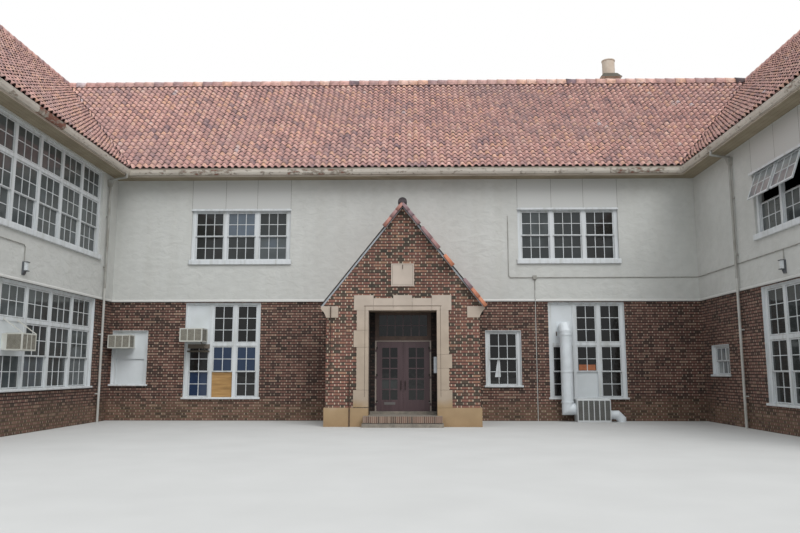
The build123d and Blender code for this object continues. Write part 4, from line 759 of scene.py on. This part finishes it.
for i in range(6):
    x = -0.745 + 1.49 / 6 * i
    if i:
        block(bars, Matrix(), (x - 0.012, -1.768, 2.688), (x + 0.012, -1.745, 3.345))
    # These panes too are painted near black, as painted shade of the hall behind.
    for foot in (2.688, 3.0165):
        block(panes, Matrix(), (x, -1.745, foot), (x + 1.49 / 6, -1.739, foot + 0.3285), 0.03)
block(bars, Matrix(), (-0.745, -1.767, 3.0045), (0.745, -1.745, 3.0285))
put("transom_bars", bars, "building", door_paint)
transom_panes = put("transom_panes", panes, "building", pane_glass)
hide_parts("transom_glass")

# Door pulls, hinges and wall lamps: cast metal under dark bronze lacquer; the mail slot's flap is bare steel.
# The lamps' lenses are pressed frosted glass.
bronze, add, position = new_material("dark_bronze_lacquer")
rub = add("TexNoise", {"Vector": position, "Scale": 30.0, "Detail": 3.0})
tone = add("ValToRGB", (rub,), stops=[(0.3, "26221f"), (0.75, "3d3834")])
level = add("SeparateXYZ", (position,), out=2)
flap = add("COMPARE", (level, 0.64, 0.045))
tone = add("Mix", {0: flap, 6: tone, 7: linear("6f6c6a")})
finish(bronze, tone, 0.5, rub, 0.0005, Metallic=0.7)
dress(bronze, "door_left_fittings", "door_right_fittings")
housing = mottled("grey_lacquer_on_cast_housing", 20.0, 2.0, [(0.3, "494c50"), (0.7, "5c5f63")], 0.5, 0.0005,
                  IOR=1.5)
dress(housing, "wall_lamps")
frosted = mottled("pressed_frosted_glass", 40.0, 2.0, [(0.3, "b4b9bb"), (0.7, "c9cdcf")], 0.3, 0.002, IOR=1.5)
dress(frosted, "lamp_glass")

# Doorway surround, plinths, kneelers and gable block: fine cast stone, buff, washed paler toward the top.
# A line is cut round the opening, the block has a cut border, and a joint at the left foot has crumbled.
# The cut lines are painted dark, as painted shade in their grooves.
stone, add, position = new_material("buff_cast_stone")
axis = add("SeparateXYZ", (position,)).node
across, level = axis.outputs[0], axis.outputs[2]
wide = add("ABSOLUTE", (across,))
speck = add("TexNoise", {"Vector": position, "Scale": 70.0, "Detail": 2.0})
wash = add("TexNoise", {"Vector": position, "Scale": 2.2, "Detail": 5.0})
spread = add("MULTIPLY_ADD", (wash, 0.5, level))
height = add("MapRange", (spread, 0.25, 4.25, 0.0, 1.0))
tone = add("ValToRGB", (height,), stops=[
    (0.0, "977d5d"), (0.13, "a08868"), (0.2, "a39483"), (0.7, "ae9f8f"), (1.0, "b7aa9e")])
shade = add("MapRange", (wash, 0.3, 0.7, 0.9, 1.07))
tone = add("Mix", {0: 1.0, 6: tone, 7: shade}, blend_type="MULTIPLY")
# The line cut round the opening: up both jambs from the plinths, then across the lintel
jamb = add("COMPARE", (wide, 1.125, 0.007))
within = add("COMPARE", (level, 2.2025, 1.3425))
jamb = add("MULTIPLY", (jamb, within))
lintel = add("COMPARE", (level, 3.545, 0.012))
within = add("LESS_THAN", (wide, 1.16))
lintel = add("MULTIPLY", (lintel, within))
# The square border cut in the gable block, round its middle at 4.485 m
centred = add("SUBTRACT", (level, 4.485))
centred = add("ABSOLUTE", (centred,))
border = add("MAXIMUM", (centred, wide))
border = add("COMPARE", (border, 0.305, 0.004))
cut = add("MAXIMUM", (jamb, lintel))
cut = add("MAXIMUM", (cut, border))
# The cut lines take a dark tone, painted shade in the grooves, and are sunk by the relief.
tone = add("Mix", {0: cut, 6: tone, 7: linear("6e6255")})
# The crumbled joint is painted dark, as painted shade in the hollow it leaves.
crumble = add("MULTIPLY_ADD", (speck, 0.04, level))
crumble = add("COMPARE", (crumble, 0.578, 0.009))
at_left = add("COMPARE", (across, -1.24, 0.23))
crumble = add("MULTIPLY", (crumble, at_left))
tone = add("Mix", {0: crumble, 6: tone, 7: linear("3f372f")})
relief = add("MULTIPLY_ADD", (speck, 0.15, 1.0))
relief = add("SUBTRACT", (relief, cut))
finish(stone, tone, 0.85, relief, 0.004, IOR=1.5)
dress(stone, "door_surround", "porch_stones")

# Landing: bricks on edge round trowelled concrete, on a rough concrete base that has shrunk from them.
# The floor behind the doors is the same concrete.
landing, add, position = new_material("rowlock_edge_and_trowelled_concrete")
along, up = face_grid(add, position)
axis = add("SeparateXYZ", (position,)).node
unit = add("MULTIPLY", (along, 1 / 0.06))
number = add("FLOOR", (unit,))
seam = add("PINGPONG", (unit, 0.5))
seam = add("LESS_THAN", (seam, 0.1))
cell = add("CombineXYZ", (number,))
chance = add("TexWhiteNoise", {"Vector": cell}, noise_dimensions="3D")
brick = add("ValToRGB", (chance,), stops=[
    (0.0, "4a3e38"), (0.4, "6b5248"), (0.75, "7b6156"), (1.0, "877365")])
brick = add("Mix", {0: seam, 6: brick, 7: linear("a09381")})
float_marks = add("TexNoise", {"Vector": position, "Scale": 6.0, "Detail": 5.0})
bare = add("ValToRGB", (float_marks,), stops=[(0.3, "6f6a62"), (0.7, "8f877b")])
normal = add("SeparateXYZ", (add("TexCoord", out="Normal"),), out=2)
steep = add("LESS_THAN", (normal, 0.5))
high = add("GREATER_THAN", (axis.outputs[2], 0.125))
front = add("LESS_THAN", (axis.outputs[1], -2.7))
edge = add("MULTIPLY", (steep, high))
edge = add("MULTIPLY", (edge, front))
tone = add("Mix", {0: edge, 6: bare, 7: brick})
# The gap where the base has shrunk from the bricks is painted dark, as painted shade in it.
ragged = add("MULTIPLY_ADD", (float_marks, 0.03, axis.outputs[2]))
gap = add("COMPARE", (ragged, 0.135, 0.009))
gap = add("MULTIPLY", (gap, steep))
tone = add("Mix", {0: gap, 6: tone, 7: linear("2b2723")})
finish(landing, tone, 0.9, float_marks, 0.004, IOR=1.5)
dress(landing, "entrance_landing", "vestibule_floor")

# Odds and ends on the porch: two iron pipes on its front, a hook on the gable block, and a bare metal
# plate on the right side of the recess.
iron = mottled("rusty_black_iron", 18.0, 4.0, [(0.35, "2c2523"), (0.7, "5a4133")], 0.8, 0.001, IOR=1.5)


def tube(mesh, points, radius, sides=12):
    """A round bar through points, each length closed at its ends."""
    for start, end in zip(points[:-1], points[1:]):
        line = Vector(end) - Vector(start)
        turn = line.to_track_quat("Z", "Y").to_matrix().to_4x4()
        matrix = Matrix.Translation((Vector(start) + Vector(end)) / 2) @ turn
        bmesh.ops.create_cone(mesh, cap_ends=True, segments=sides, radius1=radius, radius2=radius,
                              depth=line.length + radius, matrix=matrix)


pipes = bmesh.new()
tube(pipes, [(-2.15, -2.72, 1.07), (-2.15, -2.72, 3.52)], 0.014)
tube(pipes, [(-1.57, -2.70, 0.02), (-1.57, -2.70, 1.54)], 0.017)
for x, level in ((-2.15, 1.4), (-2.15, 2.9), (-1.57, 1.3)):
    block(pipes, Matrix(), (x - 0.03, -2.70, level - 0.012), (x + 0.03, -2.638, level + 0.012))
tube(pipes, [(0.0, -2.672, 4.79), (0.0, -2.69, 4.77), (0.0, -2.70, 4.70), (0.0, -2.69, 4.66)], 0.008)
put("porch_pipes_and_hook", pipes, "building", iron)
plate = bmesh.new()
block(plate, Matrix(), (0.925, -2.452, 1.56), (1.018, -2.44, 2.04))
put("bare_plate_in_recess", plate, "building", edge_paint)

# Eaves: boarded soffit and fascia in old cream oil paint; the faces under the roof are painted a dull olive,
# as painted shade.
# Steel gutters hang on them, their paint lifting in flakes over grey primer and rust.
eaves_paint, add, position = new_material("old_cream_oil_paint_on_boards")
normal = add("SeparateXYZ", (add("TexCoord", out="Normal"),), out=2)
under = add("LESS_THAN", (normal, -0.5))
patchiness = add("TexNoise", {"Vector": position, "Scale": 1.4, "Detail": 4.0})
cream = add("ValToRGB", (patchiness,), stops=[(0.3, "a59b8d"), (0.7, "bdb3a6")])
painted_soffit_shade = add("ValToRGB", (patchiness,), stops=[(0.3, "8a7e68"), (0.7, "a1957e")])
axis = add("SeparateXYZ", (position,)).node
aside = add("ABSOLUTE", (axis.outputs[0],))
of_wing = add("GREATER_THAN", (aside, 9.3))
board = add("Mix", {0: of_wing, 2: axis.outputs[1], 3: axis.outputs[0]})
board = add("MULTIPLY", (board, 1 / 0.135))
board = add("FRACT", (board,))
seam = add("GREATER_THAN", (board, 0.95))
painted_soffit_shade = add("Mix", {0: seam, 6: painted_soffit_shade, 7: linear("5d5443")})
# Faces that look down take the olive tone: painted shade under the eaves.
tone = add("Mix", {0: under, 6: cream, 7: painted_soffit_shade})
finish(eaves_paint, tone, 0.7, patchiness, 0.002, IOR=1.5)
dress(eaves_paint, "eaves_boards")
gutter_paint, add, position = new_material("flaking_cream_paint_on_steel")
axis = add("SeparateXYZ", (position,)).node
tint = add("TexNoise", {"Vector": position, "Scale": 1.1, "Detail": 3.0})
tone = add("ValToRGB", (tint,), stops=[(0.3, "b9b1a6"), (0.7, "cdc6bb")])
flakes = add("Mapping", {"Vector": position, "Scale": (1.0, 1.0, 2.2)})
flakes = add("TexNoise", {"Vector": flakes, "Scale": 4.5, "Detail": 8.0, "Roughness": 0.65})
for middle, half in ((-6.7, 0.9), (-2.8, 1.1), (7.8, 0.9)):
    worst = add("COMPARE", (axis.outputs[0], middle, half))
    flakes = add("MULTIPLY_ADD", (worst, 0.1, flakes))
length = add("COMPARE", (axis.outputs[1], -6.0, 0.7))
of_left = add("COMPARE", (axis.outputs[0], -9.4, 0.3))
red = add("MULTIPLY", (length, of_left))
flakes = add("MULTIPLY_ADD", (red, 0.2, flakes))
primer = add("MapRange", (flakes, 0.56, 0.6, 0.0, 0.8))
tone = add("Mix", {0: primer, 6: tone, 7: linear("847a6d")})
rust = add("MapRange", (flakes, 0.66, 0.7, 0.0, 0.9))
tone = add("Mix", {0: rust, 6: tone, 7: linear("7d4a3a")})
finish(gutter_paint, tone, 0.65, flakes, 0.002, IOR=1.5)
dress(gutter_paint, "gutters")

# Downspouts and conduits: round steel painted with the walls, the paint gone thin and grey-brown.
# Their lower lengths against the brick were painted white more lately.
pipe_paint, add, position = new_material("thin_grey_paint_on_round_steel")
level = add("SeparateXYZ", (position,), out=2)
rub = add("Mapping", {"Vector": position, "Scale": (5.0, 5.0, 2.5)})
rub = add("TexNoise", {"Vector": rub, "Scale": 1.0, "Detail": 5.0})
tone = add("ValToRGB", (rub,), stops=[(0.3, "85827a"), (0.7, "a5a5a0")])
lower = add("LESS_THAN", (level, 4.3))
fresh = add("ValToRGB", (rub,), stops=[(0.3, "a9a8a1"), (0.7, "bdbebb")])
tone = add("Mix", {0: lower, 6: tone, 7: fresh})
finish(pipe_paint, tone, 0.6, rub, 0.001, IOR=1.5)
dress(pipe_paint, "downspouts", "wall_conduits")

# Window coolers and the unit on the ground: sheet steel casings in weathered cream enamel.
# Pressed louvres fill their grilles over dark backs that stand for the coils, painted dark as painted shade
# inside the casings.
enamel, add, position = new_material("weathered_cream_enamel")
dirt = add("TexNoise", {"Vector": position, "Scale": 2.5, "Detail": 4.0})
tone = add("ValToRGB", (dirt,), stops=[(0.3, "b4b3a9"), (0.55, "c2c2ba"), (0.75, "c9cac5")])
axis = add("SeparateXYZ", (position,)).node
beside = add("COMPARE", (axis.outputs[0], -7.0, 1.2))
beneath = add("LESS_THAN", (axis.outputs[2], 2.572))
timber = add("MULTIPLY", (beside, beneath))
grounded = add("LESS_THAN", (axis.outputs[2], 1.0))
tone = add("Mix", {0: grounded, 6: tone, 7: linear("c3c6c6")})
tone = add("Mix", {0: timber, 6: tone, 7: linear("4b4437")})
finish(enamel, tone, 0.5, dirt, 0.001, IOR=1.5)
dress(enamel, "window_coolers", "ground_unit")
coils_and_shade = mottled("dark_coils_in_painted_shade", 60.0, 2.0, [(0.3, "1f1f1d"), (0.7, "35342f")], 0.8, 0.001, IOR=1.5)
slats, backs = bmesh.new(), bmesh.new()


def grille(place, left, right, foot, top, depth, recess, count, upright=False):
    """Slats over a dark back in a recess, leaning out at their lower or right edges."""
    block(backs, place, (left, depth - 0.0012, foot), (right, depth, top))
    reach, rise = (right - left, top - foot) if not upright else (top - foot, right - left)
    rise /= count
    lean = math.asin(min(0.8, (recess - 0.003) / rise))
    start = Matrix.Translation((left, depth - recess / 2, top if upright else foot))
    if upright:
        start = start @ Matrix.Rotation(math.pi / 2, 4, "Y")
    for i in range(count):
        at = start @ Matrix.Translation((reach / 2, 0, rise * (i + 0.5))) @ Matrix.Rotation(-lean, 4, "X")
        block(slats, place @ at, (-reach / 2, -0.001, -rise * 0.36), (reach / 2, 0.001, rise * 0.36))


for face, left, width, foot, reach in (
    ("front", -7.35, 0.75, 2.575, 0.6), ("left_inner", -6.3, 0.68, 2.13, 0.45),
    ("front", -9.79, 0.74, 2.37, 0.42),
):
    panel = (width - 0.118) / 3
    low, high = foot + 0.035, foot + 0.405
    for i in range(3):
        x = left + 0.035 + i * (panel + 0.024)
        grille(faces[face], x, x + panel, low, high, 0.012 - reach, 0.012, 12, face == "front")
    for x, turn, near, far in ((left + width, 90, 0.035 - reach, -0.055), (left, -90, 0.055, reach - 0.035)):
        side = faces[face] @ Matrix.Translation((x, 0, 0)) @ Matrix.Rotation(math.radians(turn), 4, "Z")
        grille(side, near, far, low, high, 0.012, 0.012, 14)
for i in range(6):
    x = 5.56 + 0.028 + (1.07 - 0.028) / 6 * i
    grille(faces["front"], x, x + 0.1457, 0.056, 0.674, -0.572, 0.028, 18)
fins, add, position = new_material("dusty_aluminium_louvres")
dust = add("TexNoise", {"Vector": position, "Scale": 12.0, "Detail": 3.0})
tone = add("ValToRGB", (dust,), stops=[(0.3, "7e7a6e"), (0.7, "949084")])
low = add("SeparateXYZ", (position,), out=2)
low = add("LESS_THAN", (low, 1.0))
tone = add("Mix", {0: low, 6: tone, 7: linear("7b7b77")})
finish(fins, tone, 0.6, dust, 0.001, Metallic=0.0)
put("louvres", slats, "building", fins)
put("coils_in_painted_shade_behind_louvres", backs, "building", coils_and_shade)

# Ducts: round ducts of sheet steel painted white, joined by rolled collars; a flange board in the window
# and its iron latch hold the upper end. The roof vent is painted buff over a tarred skirt.
duct_paint = mottled("white_paint_on_sheet_duct", 3.0, 4.0, [(0.3, "cdd3d6"), (0.7, "dce2e6")], 0.45, 0.001,
                     IOR=1.5)
dress(duct_paint, "unit_ducts")
flange = bmesh.new()
block(flange, faces["front"], (5.1, 0.074, 2.74), (5.55, 0.09, 3.26))
put("duct_flange", flange, "building", duct_paint)
latch = bmesh.new()
block(latch, faces["front"], (5.08, 0.06, 2.78), (5.11, 0.09, 2.92))
put("latch_by_flange", latch, "building", iron)
flue, add, position = new_material("buff_paint_on_sheet_flue")
facing = add("SeparateXYZ", (add("TexCoord", out="Normal"),), out=2)
chalk = add("TexNoise", {"Vector": position, "Scale": 4.0, "Detail": 4.0})
tone = add("ValToRGB", (chalk,), stops=[(0.3, "bfb09e"), (0.7, "cfc3b3")])
skirt = add("GREATER_THAN", (facing, 0.15))
tone = add("Mix", {0: skirt, 6: tone, 7: linear("4a4538")})
finish(flue, tone, 0.6, chalk, 0.001, IOR=1.5)
dress(flue, "roof_vent")


def collar(mesh, matrix, radius, half, segments=32):
    """A rolled band round a duct."""
    root, lip, turn = radius - 0.01, radius + 0.006, 2 * math.pi / segments
    loops = []
    for r, height in ((root, -half), (lip, -half), (radius + 0.012, 0.0), (lip, half), (root, half)):
        loops.append([
            mesh.verts.new(matrix @ Vector((r * math.cos(turn * i), r * math.sin(turn * i), height)))
            for i in range(segments)])
    for low, high in zip(loops, loops[1:] + loops[:1]):
        for i in range(segments):
            mesh.faces.new((low[i], low[(i + 1) % segments], high[(i + 1) % segments], high[i]))


collars = bmesh.new()
for level in (2.8, 1.6, 0.62):
    collar(collars, Matrix.Translation((5.315, -0.3, level)), 0.19, 0.03)
across_duct = Matrix.Translation((6.66, -0.4, 0.22)) @ Matrix.Rotation(math.radians(90), 4, "Y")
collar(collars, across_duct, 0.14, 0.025)
put("duct_collars", collars, "building", duct_paint)

# Camera: the eye height of someone standing in the courtyard, a 33 mm lens on a full-frame sensor.
camera = bpy.data.objects.new("camera", bpy.data.cameras.new("camera"))
camera.data.sensor_width = 36.0
camera.data.lens = 32.71
camera.location = (0.328, -24.362, 1.611)
camera.rotation_euler = [math.radians(a) for a in (98.204, 0.009, 1.0757)]
bpy.context.scene.collection.objects.link(camera)
bpy.context.scene.camera = camera

# Studio floor and light: a pale matt floor, a white dome that is brighter overhead, as under
# an overcast sky, and one broad soft sun from high in front.
floor_tone, add, position = new_material("pale_matt_floor")
fleck = add("TexNoise", {"Vector": position, "Scale": 0.8, "Detail": 2.0})
tone = add("ValToRGB", (fleck,), stops=[(0.3, "b8b8b6"), (0.7, "bdbdbb")])
finish(floor_tone, tone, 0.9)
ground = bmesh.new()
bmesh.ops.create_grid(ground, x_segments=1, y_segments=1, size=150.0)
floor = built("studio_floor", ground, floor_tone)

world = bpy.data.worlds.new("studio_dome")
world.use_nodes = True
bpy.context.scene.world = world
world.node_tree.nodes.clear()
rays = node(world, "LightPath", out="Is Camera Ray")
up = node(world, "SeparateXYZ", (node(world, "TexCoord", out="Generated"),), out=2)
glow = node(world, "MapRange", (up, 0.0, 1.0, 0.58, 1.5))
dome = node(world, "Background", {"Color": linear("f2f5f8"), "Strength": glow})
backdrop = node(world, "Background", {"Color": (1.0, 1.0, 1.0, 1.0), "Strength": 1.0})
mixed = node(world, "MixShader", (rays, dome, backdrop))
node(world, "OutputWorld", {"Surface": mixed})
sun = bpy.data.objects.new("soft_sun", bpy.data.lights.new("soft_sun", "SUN"))
sun.data.energy = 1.6
sun.data.angle = math.radians(40)
sun.rotation_euler = (math.radians(42), math.radians(8), math.radians(18))
bpy.context.scene.collection.objects.link(sun)
bpy.context.scene.view_settings.view_transform = "Standard"
